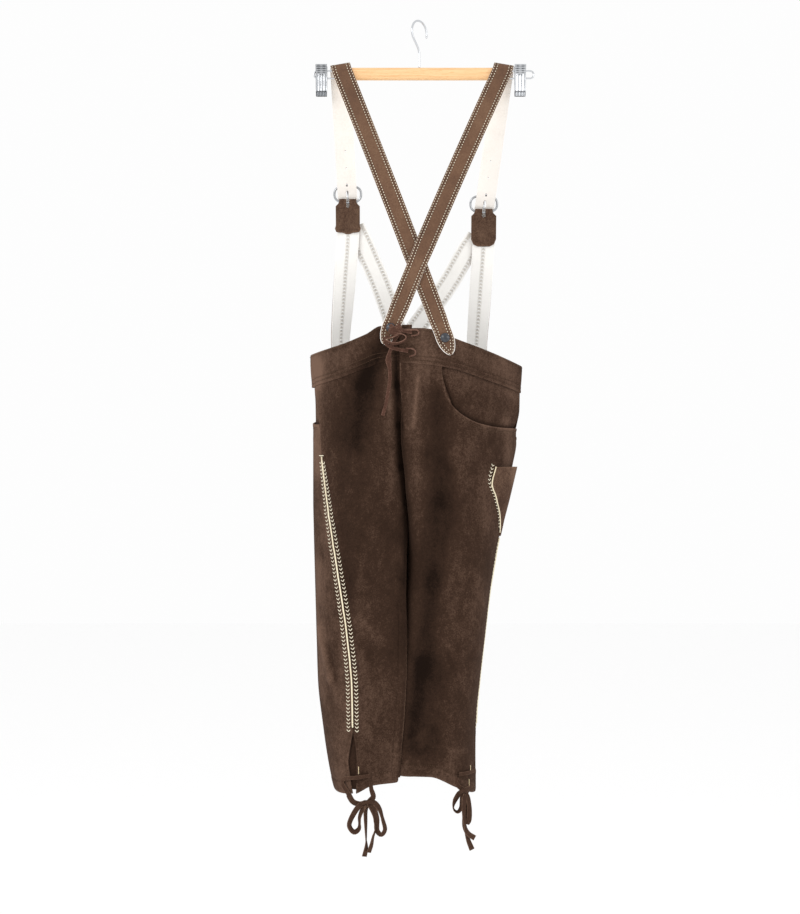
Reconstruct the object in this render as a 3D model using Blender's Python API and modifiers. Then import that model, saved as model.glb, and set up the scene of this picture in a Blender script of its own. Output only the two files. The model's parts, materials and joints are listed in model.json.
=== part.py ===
"""Kniebund lederhosen of dark brown suede, seen from the back, hung by their braces over a clip hanger.

Run with: blender --background --python part.py, or from Blender's text editor.

World frame, in metres: +Z is up, the garment's back faces -Y, and the wearer's right is +X. The origin is the
inner top of the hanger's hook, where a rail carries it. The tables and sizes below are in millimetres.

Each half of the breeches is a leather skin given by horizontal sections, one row of SECTIONS for each height.
A place on the skin is an arc distance along the section from the side seam (towards the back is positive), a
height, and a depth below the leather's outer face. Every panel, band, pocket and trim is a stretch of it.
"""

import math

import bmesh
import bpy
import numpy as np
from mathutils import Matrix, Vector

MM = 0.001

# Leather and seams
WALL = 2.0
BAND_PROUD = 0.6
SEAM_GAP = 0.3
SEAM_EDGE = 0.2
CENTRE_GAP = 0.5
FACING_WALL = 1.5
FACING_RISE = 6.0
FACING_DEPTH = WALL + 2.0
GUSSET_DEPTH = WALL + 1.3
FLAP_LIFT = 1.9
FLAP_WALL = 2.2
STRAP_PLY = 1.5
STRAP_PLY_GAP = 0.3
STRAP_THICK = 2 * STRAP_PLY + STRAP_PLY_GAP

# Braces
STRAP_WIDTH = 30.0
FRONT_STRAP_WIDTH = 40.0
DIAGONAL_WIDTH = 37.0
TONGUE_POINT = 22.0
TONGUE_PLANE = -79.3
# How far towards the back each brace passes where the two cross, so that the right one lies on the left one
NEARER = {"left": 0.4, "right": -4.8}
# Between the ends of the two plies and what they lie on
BAR_CLEARANCE = 1.1
DIAGONAL_LAYER = 1.2

# Hanger
BAR_LENGTH = 271.0
BAR_CENTRE_X = 4.9
BAR_DEPTH = 12.0
BAR_TOP = -71.0
BAR_BOTTOM = -90.4
WIRE_THICK = 2.6
WIRE_HEIGHTS = (-75.7, -87.3)
HOOK_THICK = 3.2
HOOK_RADIUS = 18.0
HOOK_TURN = 50.0
WIRE_REACH = {"left": 32.2, "right": 36.5}
CLIP_WIDTH = 17.6
CLIP_X = {"left": -151.7, "right": 156.0}
# A clip's profile, as forward and z: one plate from its finger end to its jaw, the inside back up to the join,
# and the inside above the join
CLIP_PLATE = ((8.6, -67.0), (8.6, -70.0), (4.2, -78.5), (2.6, -92.0), (1.6, -106.0), (3.4, -109.0), (3.4, -115.0))
CLIP_GAP = ((0.15, -115.0), (0.15, -104.0), (1.1, -92.5), (2.2, -84.6))
CLIP_HEAD = ((2.8, -78.6), (5.8, -69.4), (5.8, -67.0))

# Front flap: half widths of its columns, its top, its foot in the middle, and how far its corners round up
FLAP_COLUMNS = (76, 72, 62, 48, 33, 18, 7)
FLAP_TOP = -514.0
FLAP_FOOT = -716.0
FLAP_CORNER = 56.0
FLAP_SQUARENESS = 4

# Where both halves' walls come together: at the back, at the front, and from the crotch down at the inseam
CROTCH = -826.0
# slant: how much the parting plane turns; a positive one brings the left leg in front of the right one
CENTRE_ROWS = "z back_x front_x cb_y cf_y slant"
CENTRE = (
    (-465, -31.0, -22.0, -76.5, 86.0, 0.00),
    (-588, -31.0, -22.0, -76.0, 86.0, 0.00),
    (-620, -33.0, -22.0, -58.0, 85.0, -0.04),
    (-660, -32.0, -22.0, -50.0, 80.0, -0.08),
    (-710, -27.5, -22.0, -46.0, 74.0, -0.07),
    (-765, -20.0, -18.0, -40.0, 60.0, 0.00),
    (-800, -18.5, -18.0, -26.0, 36.0, 0.05),
    (-826, -19.0, -19.0, 0.0, 0.0, 0.09),
    (-880, -24.0, -24.0, 1.0, 1.0, 0.16),
    (-957, -30.0, -30.0, 1.0, 1.0, 0.21),
    (-1050, -35.0, -35.0, 0.0, 0.0, 0.21),
    (-1210, -39.0, -39.0, 0.0, 0.0, 0.18),
)
SLANT_REACH = 45.0

# A row for each height of a half: its side extreme, its back and front extremes, the side seam's place, and how
# square the curve between two extremes is (2 is an ellipse, less is leaner). behind: how far the left back runs
# behind the right one at the back slit, and how deep.
SECTION_ROWS = "z out_x out_y back_x back_y front_x front_y seam_x lean cb_lean cf_lean behind behind_y"
LEFT_SECTIONS = (
    (-465, -169.8, 6, -95, -78, -72, 90, -168.8, 1.38, 1.6, 2.0, 19.0, 8.0),
    (-516, -168.6, 6, -95, -78, -72, 90, -167.6, 1.38, 1.6, 2.0, 19.0, 8.0),
    (-562, -166.4, 6, -95, -78, -72, 90, -159.5, 1.42, 1.6, 2.0, 17.0, 9.0),
    (-581, -165.3, 6, -95, -78, -72, 90, -157.0, 1.46, 1.6, 2.0, 0.0, 7.0),
    (-601, -164.9, 6, -94, -79, -72, 91, -155.4, 1.50, 1.6, 2.0, 0.0, 3.0),
    (-630, -164.9, 6, -94, -80, -73, 91, -152.6, 1.55, 1.7, 2.0, 0.0, 0.0),
    (-671, -164.9, 6, -93, -82, -74, 91, -148.8, 1.62, 1.9, 2.0, 0.0, 0.0),
    (-740, -164.8, 5, -92, -86, -76, 90, -139.6, 1.74, 2.6, 2.2, 0.0, 0.0),
    (-786, -163.8, 4, -91, -89, -78, 89, -132.5, 1.82, 3.4, 2.6, 0.0, 0.0),
    (-868, -161.6, 3, -90, -92, -82, 88, -121.2, 1.95, 3.9, 3.0, 0.0, 0.0),
    (-950, -159.2, 2, -90, -90, -85, 86, -113.4, 2.05, 3.9, 3.0, 0.0, 0.0),
    (-1020, -157.0, 2, -88, -86, -86, 83, -107.0, 2.05, 3.6, 3.0, 0.0, 0.0),
    (-1087, -149.5, 3, -86, -80, -86, 79, -101.0, 2.05, 3.3, 3.0, 0.0, 0.0),
    (-1130, -143.5, 4, -85, -76, -85, 76, -99.5, 2.05, 2.9, 2.9, 0.0, 0.0),
    (-1170, -140.0, 5, -85, -73, -85, 74, -98.5, 2.05, 2.8, 2.8, 0.0, 0.0),
    (-1210, -138.5, 5, -85, -72, -85, 73, -98.0, 2.05, 2.8, 2.8, 0.0, 0.0),
)
RIGHT_SECTIONS = (
    (-465, 161.0, 6, 50, -78, 40, 90, 160.6, 1.38, 3.0, 2.0, 0.0, 0.0),
    (-528, 159.0, 6, 50, -78, 40, 90, 158.6, 1.38, 3.0, 2.0, 0.0, 0.0),
    (-560, 157.4, 6, 50, -78, 40, 90, 157.0, 1.42, 3.0, 2.0, 0.0, 0.0),
    (-601, 154.5, 6, 49, -79, 40, 91, 154.1, 1.48, 3.0, 2.0, 0.0, 0.0),
    (-636, 150.6, 6, 48, -80, 40, 91, 150.2, 1.55, 3.0, 2.0, 0.0, 0.0),
    (-650, 150.4, 6, 47, -81, 40, 91, 150.0, 1.58, 3.0, 2.0, 0.0, 0.0),
    (-690, 143.5, 6, 46, -84, 40, 91, 143.1, 1.64, 3.3, 2.0, 0.0, 0.0),
    (-740, 133.5, 5, 44, -86, 40, 90, 133.1, 1.74, 3.7, 2.0, 0.0, 0.0),
    (-795, 123.5, 4, 42, -87, 40, 90, 123.1, 1.85, 4.0, 2.4, 0.0, 0.0),
    (-834, 116.5, 3, 41, -88, 41, 90, 116.1, 1.95, 3.8, 2.8, 0.0, 0.0),
    (-880, 109.0, 2, 40, -89, 40, 91, 108.6, 2.00, 3.4, 3.0, 0.0, 0.0),
    (-950, 101.0, 2, 38, -87, 38, 90, 100.6, 2.05, 2.8, 3.0, 0.0, 0.0),
    (-1020, 93.0, 2, 34, -83, 34, 86, 92.6, 2.05, 2.8, 3.0, 0.0, 0.0),
    (-1070, 88.0, 2, 31, -79, 31, 81, 87.6, 2.05, 2.8, 3.0, 0.0, 0.0),
    (-1120, 86.2, 3, 29, -75, 29, 75, 85.8, 2.05, 2.8, 2.9, 0.0, 0.0),
    (-1210, 86.5, 5, 27, -72, 27, 73, 86.1, 2.05, 2.7, 2.8, 0.0, 0.0),
)

# Heights of the edges across each half, from the side seam inwards: waist top, waistband seam and hem
EDGE_ROWS = "x waist band_seam"
EDGES = {
    ("left", "back"): ((-169, -516, -567), (-115, -499, -553), (-53, -480.5, -528), (-12, -475, -526)),
    ("right", "back"): ((-31, -483.5, -532), (32, -484.5, -537.5), (94, -504.5, -555), (159, -529, -575)),
    ("left", "front"): ((-169, -516, -567), (-95, -507, -558), (-22, -503, -554)),
    ("right", "front"): ((-22, -503, -554), (65, -509, -560), (159, -529, -575)),
}
HEM_ROWS = "x z"
HEMS = {
    ("left", "back"): ((-98, -1181), (-72, -1168), (-31, -1163)),
    ("right", "back"): ((-31, -1154), (15, -1155), (57, -1173), (86, -1190)),
    ("left", "front"): ((-139, -1187), (-98, -1181), (-31, -1163)),
    ("right", "front"): ((-31, -1154), (30, -1170), (86, -1190)),
}

# Curved pocket mouths: how far from the side seam they start on the waistband seam, and where they reach the
# side seam. The back one starts at a place across the back.
MOUTH_POWER = 2.6
# start_z, start_x, width, side_z
MOUTHS = {
    ("right", "back"): (-537.8, 33.1, None, -630.0),
    ("left", "front"): (-560.0, None, 92.0, -624.0),
    ("right", "front"): (-562.0, None, 92.0, -643.0),
}

# Side vents: the slit's half widths towards the back and the front, by how far below its top
VENT_TOP = {"left": -1087.0, "right": -1092.0}
VENT_OPEN = {"left": 1.0, "right": 0.45}
VENT_ROWS = "drop back front"
VENT = ((-10, 0.2, 0.2), (0, 0.2, 0.2), (18, 3.5, 4.5), (45, 6.0, 11.0), (75, 6.0, 8.0), (130, 6.0, 7.5))

KNIFE_POCKET_ROWS = "z back front bulge"
KNIFE_POCKET = (
    (-689, 45, -12, 9.8),
    (-716, 49, -12, 8.6),
    (-740, 38, -12, 6.0),
    (-765, 23, -11, 3.0),
    (-796, 6, -8, 1.0),
)

# Ribbons, by hand: a centre line with the direction its outer side faces
BACK_BUTTONS = {"left": (-43.5, -488.0), "right": (37.4, -495.5)}
BAR_CROSSING = {"left": -121.0, "right": 129.0}
BUCKLES = {"left": (-112.5, -272.0), "right": (102.5, -287.0)}
FRONT_BUTTONS = {"left": (-122.0, -527.0), "right": (91.0, -532.0)}
MIDDLE_BUTTON = (-22.0, -524.0)
FLAP_BUTTON_Z = -530.0
FLAP_BUTTON_FROM_CENTRE = 60.0
SMALL_BUTTON = (14.0, 4.0)
LARGE_BUTTON = (17.0, 5.0)
# radius, height
BUTTON_PROFILE = ((0, 1), (0.45, 0.94), (0.75, 0.72), (1, 0.42), (1, 0.15), (0.85, 0), (0, 0))

# The front of a brace: how far above its buckle's bar, and how far it stands off the plane of the front
# above, forward
BRACE_FRONT = ((60, -0.6), (40, -1.6), (26, -1.4), (13, 3.0), (0, 8.2), (-12, 10.4), (-34, 10.6), (-58, 10.6))

# Where a slanting strap passes half way down, across the garment
DIAGONAL_MIDDLE = {"left": -60.0, "right": 44.0}
DIAGONAL_MIDDLE_Z = -402.0

# Buckle patch and buckle, as across and above the buckle's bar
PATCH_THICK = 2.0
PATCH_SLOT_FOOT = -8.5
PATCH_HALF = ((2.6, -6.0), (2.6, 5.0), (14.0, 5.0), (15.0, -1.0), (20.5, -6.0), (20.5, -42.0), (17.0, -49.5),
              (10.0, -53.0))
BUCKLE_HALF_WIDTH = 21.0
BUCKLE_HALF_HEIGHT = 13.0
BUCKLE_SQUARENESS = 2.6
BUCKLE_WIRE = 3.6
BUCKLE_LIFT = 4.3
BUCKLE_TILT = 1.4
PRONG_THICK = 2.2
# above, forward
PRONG = ((3.6, 4.2), (8.0, 4.0), (12.0, 5.0), (18.0, 7.6), (24.0, 9.4), (29.0, 9.6))
PRONG_HOLE_RADIUS = 2.4
PRONG_HOLE_LONG = 2.2

# Laces, by hand: x, y, z of points along each thong; they hang free
LACE_THICK = 3.0
LACES = {
    "back_lace_upper": (
        (-13, -80.6, -488), (-24, -84, -487), (-33, -88.5, -486.5), (-42, -90, -485), (-50, -90, -490),
        (-51, -92, -499), (-43, -98, -506), (-31, -98, -506), (-21, -93, -500), (-20, -89.5, -492),
        (-29, -92, -489.5), (-38, -95, -490), (-44, -94.5, -498), (-46, -88, -511), (-45, -82.5, -524),
        (-43, -79, -540), (-44, -78.2, -560), (-48, -77.6, -585), (-56, -77.6, -612),
    ),
    "back_lace_lower": (
        (-18, -80.6, -517), (-30, -84, -518), (-37, -87.5, -513), (-39, -88.5, -503), (-34, -88, -496),
    ),
    "hem_lace_left_back": (
        (-74, -75.4, -1161), (-77, -77.5, -1171), (-76, -78, -1184), (-79, -80, -1196), (-76, -82, -1208),
        (-66, -81, -1216), (-58, -80, -1228), (-54, -79, -1242), (-59, -78, -1253), (-67, -78, -1248),
        (-71, -80, -1230), (-74, -82, -1212), (-76, -85.5, -1202), (-79, -85, -1212), (-78, -80, -1235),
        (-80, -78, -1258), (-84, -78, -1278),
    ),
    "hem_lace_left_front": (
        (-77, -76, -1154.5), (-96, -76.6, -1155), (-113, -67, -1156), (-118, -61.5, -1166), (-114, -65, -1180),
        (-106, -72, -1192), (-96, -77, -1200), (-88, -78, -1197), (-85, -79, -1204), (-93, -80, -1214),
        (-102, -79, -1224), (-108, -77, -1235), (-102, -76, -1248), (-93, -76, -1240), (-92, -79, -1226),
        (-88, -83, -1208), (-86.5, -83, -1222), (-87, -79, -1250), (-91, -77, -1272), (-94, -77, -1284),
    ),
    "hem_lace_right_back": (
        (56, -67.4, -1157), (53, -69.6, -1166), (57, -67.5, -1178), (66, -61, -1187), (66, -58, -1196),
        (57, -56, -1204), (51, -56, -1213), (52, -56, -1224), (59, -55, -1228), (64, -56, -1220),
        (66, -60, -1204), (69, -60, -1222), (69, -60, -1245), (73, -60, -1262), (83, -60, -1272),
    ),
    "hem_lace_right_front": (
        (59, -66.6, -1152), (73, -51, -1153), (86, -24, -1155), (90.5, -4, -1157), (91.5, 3, -1164),
        (91, 0, -1176), (88.5, -14, -1187), (82, -30, -1194), (77, -42, -1199), (80, -50, -1216),
        (82, -50, -1236), (77, -49, -1245), (72.5, -50, -1236), (72.5, -52, -1215), (73, -60, -1198),
        (75.5, -63.5, -1212), (76, -60, -1240), (74, -53.5, -1258), (77, -53, -1275), (80, -53, -1290),
    ),
}

# sRGB colours as linear values, with roughness and metallic
FINISHES = {
    "suede": ((0.040, 0.024, 0.014), 0.95, 0.0),
    "suede_trim": ((0.060, 0.034, 0.021), 0.95, 0.0),
    "strap_leather": ((0.150, 0.080, 0.050), 0.75, 0.0),
    "strap_lining": ((0.860, 0.820, 0.740), 0.85, 0.0),
    "piping": ((0.800, 0.700, 0.500), 0.80, 0.0),
    "steel": ((0.620, 0.620, 0.640), 0.25, 1.0),
    "horn": ((0.050, 0.040, 0.040), 0.35, 0.0),
    "wood": ((0.850, 0.600, 0.340), 0.50, 0.0),
}


# ---------------------------------------------------------------- tables and curves


def columns(names, rows):
    """A table as a dictionary of arrays, its rows in rising order of their first column."""
    values = np.array(sorted(rows), float)
    return dict(zip(names.split(), values.T))


def through(xs, ys, at):
    """A smooth line through a table's rows that never overshoots them."""
    rise = np.diff(ys) / np.diff(xs)
    same = rise[1:] * rise[:-1] > 0
    total = np.where(same, rise[1:] + rise[:-1], 1.0)
    inner = np.where(same, 2 * rise[1:] * rise[:-1] / total, 0.0)
    slope = np.concatenate([rise[:1], inner, rise[-1:]])
    at = np.clip(at, xs[0], xs[-1])
    i = np.clip(np.searchsorted(xs, at) - 1, 0, len(xs) - 2)
    h = xs[i + 1] - xs[i]
    t = (at - xs[i]) / h
    start = (1 + 2 * t) * (1 - t) ** 2 * ys[i] + t * (1 - t) ** 2 * h * slope[i]
    return start + t * t * (3 - 2 * t) * ys[i + 1] - t * t * (1 - t) * h * slope[i + 1]


def along(points):
    """Distance along a polyline at each of its points."""
    steps = np.linalg.norm(np.diff(points, axis=0), axis=1)
    return np.concatenate([[0.0], np.cumsum(steps)])


def smooth_path(points, spacing):
    """Points about this far apart on a Catmull-Rom curve through the given ones."""
    points = np.array(points, float)
    ends = np.vstack([2 * points[0] - points[1], points, 2 * points[-1] - points[-2]])
    fine = []
    for a, b, c, d in zip(ends[:-3], ends[1:-2], ends[2:-1], ends[3:]):
        t = np.linspace(0, 1, 16, endpoint=False)[:, None]
        fine.append(b + 0.5 * t * (c - a) + t * t * (a - 2.5 * b + 2 * c - 0.5 * d)
                    + t ** 3 * (1.5 * (b - c) + 0.5 * (d - a)))
    fine = np.vstack(fine + [points[-1:]])
    s = along(fine[:, :3])
    even = np.linspace(0, s[-1], max(2, round(s[-1] / spacing) + 1))
    return np.stack([np.interp(even, s, column) for column in fine.T], axis=1)


# ---------------------------------------------------------------- the leather skin


PANEL_COLUMNS = 15
PANEL_ROWS = 23
BAND_SHARES = np.linspace(0, 1, PANEL_COLUMNS)
MOUTH_SHARES = np.array([0, 0.07, 0.17, 0.32, 0.52, 0.74, 0.90, 0.98, 1.0])
LEVEL_ROW = -658.0
UPPER_PART = 5 / 22
SKIN_STEP = 4.0
SKIN_SAMPLES = 96
QUARTER_POINTS = 70
NORMAL_SPREAD = 3.0


def section(row, centre, side):
    """The outer outline of one half at one height, from the centre back round the side to the centre front."""
    sign = -1.0 if side == "left" else 1.0
    half_gap = sign * 0.5 * CENTRE_GAP
    cb_x = centre["back_x"] + half_gap + row["behind"]
    cb_y = centre["cb_y"] + row["behind_y"]
    cf_x = centre["front_x"] + half_gap
    angle = np.linspace(0, math.pi / 2, QUARTER_POINTS)
    s, c = np.sin(angle), np.cos(angle)
    s[0], c[-1] = 0.0, 0.0
    quarters = (
        (row["back_x"], cb_y, cb_x, row["back_y"], row["cb_lean"], c, s),
        (row["back_x"], row["out_y"], row["out_x"], row["back_y"], row["lean"], s, c),
        (row["front_x"], row["out_y"], row["out_x"], row["front_y"], row["lean"], c, s),
        (row["front_x"], centre["cf_y"], cf_x, row["front_y"], row["cf_lean"], s, c),
    )
    outline = []
    for x0, y0, x1, y1, power, across, forth in quarters:
        x = x0 + (x1 - x0) * across ** (2 / power)
        y = y0 + (y1 - y0) * forth ** (2 / power)
        outline.append(np.stack([x, y], axis=1)[:-1])
    last = np.array([[cf_x, centre["cf_y"]]])
    return np.vstack(outline + [last])


def resampled(outline, s, at):
    return np.stack([np.interp(at, s, outline[:, 0]), np.interp(at, s, outline[:, 1])], axis=1)


def skin_of(side, rows):
    """The skin of one half: for each height, its back and its front from the side seam to the centre."""
    table = columns(SECTION_ROWS, rows)
    centre_table = columns(CENTRE_ROWS, CENTRE)
    heights = np.arange(-1212.0, -463.0, SKIN_STEP)
    skin = {"z": heights}
    found = {"back": [], "front": []}
    for z in heights:
        row = {name: float(through(table["z"], table[name], z)) for name in table}
        centre = {name: float(through(centre_table["z"], centre_table[name], z)) for name in centre_table}
        if z < CROTCH:
            centre["front_x"], centre["cf_y"] = centre["back_x"], centre["cb_y"]
        outline = section(row, centre, side)
        near = np.exp(-((outline[:, 0] - centre["back_x"]) / SLANT_REACH) ** 2)
        outline[:, 0] -= centre["slant"] * outline[:, 1] * near
        s = along(outline)
        even = np.linspace(0, s[-1], 4 * SKIN_SAMPLES)
        ahead = resampled(outline, s, np.minimum(even + NORMAL_SPREAD, s[-1]))
        behind = resampled(outline, s, np.maximum(even - NORMAL_SPREAD, 0))
        tangent = (ahead - behind) / np.linalg.norm(ahead - behind, axis=1)[:, None]
        turn = 1.0 if side == "left" else -1.0
        inward = turn * np.stack([tangent[:, 1], -tangent[:, 0]], axis=1)
        reach = np.abs(outline[QUARTER_POINTS - 1:2 * QUARTER_POINTS - 1, 0] - row["back_x"])
        seam = np.interp(abs(row["seam_x"] - row["back_x"]), reach, s[QUARTER_POINTS - 1:2 * QUARTER_POINTS - 1])
        for part, end in (("back", 0.0), ("front", s[-1])):
            at = np.linspace(seam, end, SKIN_SAMPLES)
            found[part].append(np.hstack([resampled(outline, s, at), resampled(inward, even, at),
                                          np.full((SKIN_SAMPLES, 1), abs(end - seam))]))
    for part, layers in found.items():
        layers = np.array(layers)
        skin[part] = layers[:, :, :4]
        skin[part + "_length"] = layers[:, 0, 4]
    return skin


def length_of(skin, part, z):
    return np.interp(z, skin["z"], skin[part + "_length"])


def on_skin(skin, s, z, depth):
    """Points of the skin at an arc distance from the side seam (back is positive), a height and a depth."""
    s, z, depth = np.broadcast_arrays(np.asarray(s, float), np.asarray(z, float), np.asarray(depth, float))
    level = np.clip((z - skin["z"][0]) / SKIN_STEP, 0, len(skin["z"]) - 1.001)
    k = level.astype(int)
    f = (level - k)[..., None]
    values = np.zeros(s.shape + (4,))
    for part, here in (("back", s >= 0), ("front", s < 0)):
        u = np.clip(np.abs(s) / length_of(skin, part, z), 0, 1) * (SKIN_SAMPLES - 1.001)
        j = u.astype(int)
        g = (u - j)[..., None]
        grid = skin[part]
        low = grid[k, j] * (1 - g) + grid[k, j + 1] * g
        high = grid[k + 1, j] * (1 - g) + grid[k + 1, j + 1] * g
        values = np.where(here[..., None], low * (1 - f) + high * f, values)
    inward = values[..., 2:] / np.linalg.norm(values[..., 2:], axis=-1)[..., None]
    xy = values[..., :2] + inward * depth[..., None]
    return np.concatenate([xy, z[..., None]], axis=-1)


def distance_at_x(skin, part, x, z):
    """How far from the side seam the skin of this part reaches a place across the garment."""
    u = np.linspace(0, 1, 160)
    reach = length_of(skin, part, z)
    sign = 1.0 if part == "back" else -1.0
    xs = on_skin(skin, sign * u * reach, z, 0.0)[:, 0]
    far = int(np.argmax(np.abs(xs - xs[-1])))
    xs, u = xs[far:], u[far:]
    order = np.argsort(xs)
    return float(np.interp(x, xs[order], u[order]) * reach)


def edge_height(skin, side, part, s, edge, start):
    """Height of a named edge line at each arc distance, found on the skin near the height start."""
    table = columns(EDGE_ROWS, EDGES[side, part]) if edge != "hem" else columns(HEM_ROWS, HEMS[side, part])
    sign = 1.0 if part == "back" else -1.0
    z = np.full(np.shape(s), float(start))
    for _ in range(3):
        x = on_skin(skin, sign * np.asarray(s), z, 0.0)[..., 0]
        z = through(table["x"], table["z" if edge == "hem" else edge], x)
    return z


# ---------------------------------------------------------------- meshes


def collection_of(name):
    made = bpy.data.collections.new(name)
    bpy.context.scene.collection.children.link(made)
    return made


def material_of(finish):
    if finish in bpy.data.materials:
        return bpy.data.materials[finish]
    colour, roughness, metallic = FINISHES[finish]
    made = bpy.data.materials.new(finish)
    made.use_nodes = True
    shader = made.node_tree.nodes["Principled BSDF"]
    shader.inputs["Base Color"].default_value = (*colour, 1.0)
    shader.inputs["Roughness"].default_value = roughness
    shader.inputs["Metallic"].default_value = metallic
    made.diffuse_color = (*colour, 1.0)
    return made


def placed(obj, name, finish, angle=50.0):
    """Names an object, gives it its finish and puts it in the object's collection."""
    obj.name = name
    obj.data.name = name
    obj.data.materials.clear()
    obj.data.materials.append(material_of(finish))
    for owner in list(obj.users_collection):
        owner.objects.unlink(obj)
    GARMENT.objects.link(obj)
    if obj.type == "MESH":
        obj.data.shade_smooth()
        obj.data.set_sharp_from_angle(angle=math.radians(angle))
    return obj


def from_faces(name, points_mm, faces, finish):
    """An object from points in millimetres, its faces turned outwards."""
    mesh = bpy.data.meshes.new(name)
    mesh.from_pydata((np.asarray(points_mm) * MM).tolist(), [], faces)
    work = bmesh.new()
    work.from_mesh(mesh)
    bmesh.ops.recalc_face_normals(work, faces=work.faces)
    work.to_mesh(mesh)
    work.free()
    obj = bpy.data.objects.new(name, mesh)
    return placed(obj, name, finish)


def wall(name, outer, inner, finish):
    """A closed wall between two grids of points, with its four rims."""
    rows, cols = outer.shape[:2]
    index = np.arange(rows * cols).reshape(rows, cols)
    faces = []
    for grid in (index, index + rows * cols):
        quads = np.stack([grid[:-1, :-1], grid[:-1, 1:], grid[1:, 1:], grid[1:, :-1]], axis=-1)
        faces += quads.reshape(-1, 4).tolist()
    for rim in (index[0], index[-1], index[:, 0], index[:, -1]):
        faces += [(a, b, b + rows * cols, a + rows * cols) for a, b in zip(rim[:-1].tolist(), rim[1:].tolist())]
    points = np.concatenate([outer.reshape(-1, 3), inner.reshape(-1, 3)])
    return from_faces(name, points, faces, finish)


def ribbon(name, path, width, lift, thick, finish):
    """A flat strap along a path of x, y, z and the facing direction. lift is how far its inner face is moved
    out from the path, and width is one value or one for each point."""
    points, facing = path[:, :3], path[:, 3:6]
    ahead = np.gradient(points, axis=0)
    ahead /= np.linalg.norm(ahead, axis=1)[:, None]
    across = np.cross(ahead, facing)
    across /= np.linalg.norm(across, axis=1)[:, None]
    out = np.cross(across, ahead)
    half = 0.5 * np.broadcast_to(width, len(points))[:, None]
    inner = np.stack([points + across * half + out * lift, points - across * half + out * lift], axis=1)
    outer = inner + (out * thick)[:, None, :]
    return wall(name, outer, inner, finish)


def tube(name, points, thick, finish):
    """A round cord or wire as a curve with filled ends."""
    data = bpy.data.curves.new(name, "CURVE")
    data.dimensions = "3D"
    data.bevel_depth = 0.5 * thick * MM
    data.bevel_resolution = 2
    data.use_fill_caps = True
    line = data.splines.new("POLY")
    line.points.add(len(points) - 1)
    for target, point in zip(line.points, points):
        target.co = (*(np.asarray(point) * MM), 1.0)
    return placed(bpy.data.objects.new(name, data), name, finish)


def plate(name, corners_mm, through_mm, finish):
    """A flat outline carried straight through to make a solid."""
    work = bmesh.new()
    face = work.faces.new([work.verts.new(Vector(corner) * MM) for corner in corners_mm])
    swept = bmesh.ops.extrude_face_region(work, geom=[face])["geom"]
    moved = [item for item in swept if isinstance(item, bmesh.types.BMVert)]
    bmesh.ops.translate(work, verts=moved, vec=Vector(through_mm) * MM)
    bmesh.ops.recalc_face_normals(work, faces=work.faces)
    bmesh.ops.triangulate(work, faces=work.faces)
    mesh = bpy.data.meshes.new(name)
    work.to_mesh(mesh)
    work.free()
    return placed(bpy.data.objects.new(name, mesh), name, finish, 30.0)


def button(name, size, centre, facing):
    """A domed button with a rolled rim, turned about its shank's axis and set facing outwards."""
    diameter, height = size
    mesh = bpy.data.meshes.new(name)
    points = [(0.5 * diameter * r * MM, 0.0, height * h * MM) for r, h in BUTTON_PROFILE]
    mesh.from_pydata(points, [(i, i + 1) for i in range(len(points) - 1)], [])
    obj = placed(bpy.data.objects.new(name, mesh), name, "horn")
    turn = obj.modifiers.new("Turn", "SCREW")
    turn.steps = 16
    turn.render_steps = 16
    turn.use_merge_vertices = True
    turn.merge_threshold = 0.0001
    obj.location = Vector(centre) * MM
    obj.rotation_euler = Vector(facing).to_track_quat("Z", "Y").to_euler()
    return obj


def box(name, size, centre, bevel, finish):
    """A box with rounded edges, from a cube primitive."""
    bpy.ops.mesh.primitive_cube_add(size=1.0, location=Vector(centre) * MM)
    obj = bpy.context.object
    obj.data.transform(Matrix.Diagonal((*(Vector(size) * MM), 1.0)))
    placed(obj, name, finish)
    rounding = obj.modifiers.new("Rounding", "BEVEL")
    rounding.width = bevel * MM
    rounding.segments = 3
    return obj


# ---------------------------------------------------------------- breeches


def vent_edges(side, z):
    """How far the slit's back and front edges stand from the side seam at a height."""
    table = columns(VENT_ROWS, VENT)
    drop = VENT_TOP[side] - z
    share = np.where(drop > 0, VENT_OPEN[side], 1.0)
    back = np.interp(drop, table["drop"], table["back"]) * share
    front = np.interp(drop, table["drop"], table["front"]) * share
    return np.maximum(back, SEAM_EDGE), np.maximum(front, SEAM_EDGE)


def mouth_line(skin, side, part, across):
    """The pocket mouth, by shares of its width, from the side seam (0) to where it starts on the band (1)."""
    start_z, start_x, width, side_z = MOUTHS[side, part]
    down = (1 - across ** MOUTH_POWER) ** (1 / MOUTH_POWER)
    z = start_z + (side_z - start_z) * down
    if start_x is None:
        return width * across, z
    side_x = on_skin(skin, 0.0, side_z, 0.0)[0]
    x = side_x + (start_x - side_x) * across
    s = np.array([distance_at_x(skin, part, xi, zi) for xi, zi in zip(x, z)])
    s[across < 1e-6] = 0.0
    return s, z


def band_seam_at(skin, side, part, s):
    """Height of the waistband's lower edge, as its straight facets run, at arc distances from the side seam."""
    facets = SEAM_EDGE + BAND_SHARES * (length_of(skin, part, -550.0) - SEAM_EDGE)
    z = edge_height(skin, side, part, facets, "band_seam", -550.0)
    return np.interp(s, facets, z)


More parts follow.
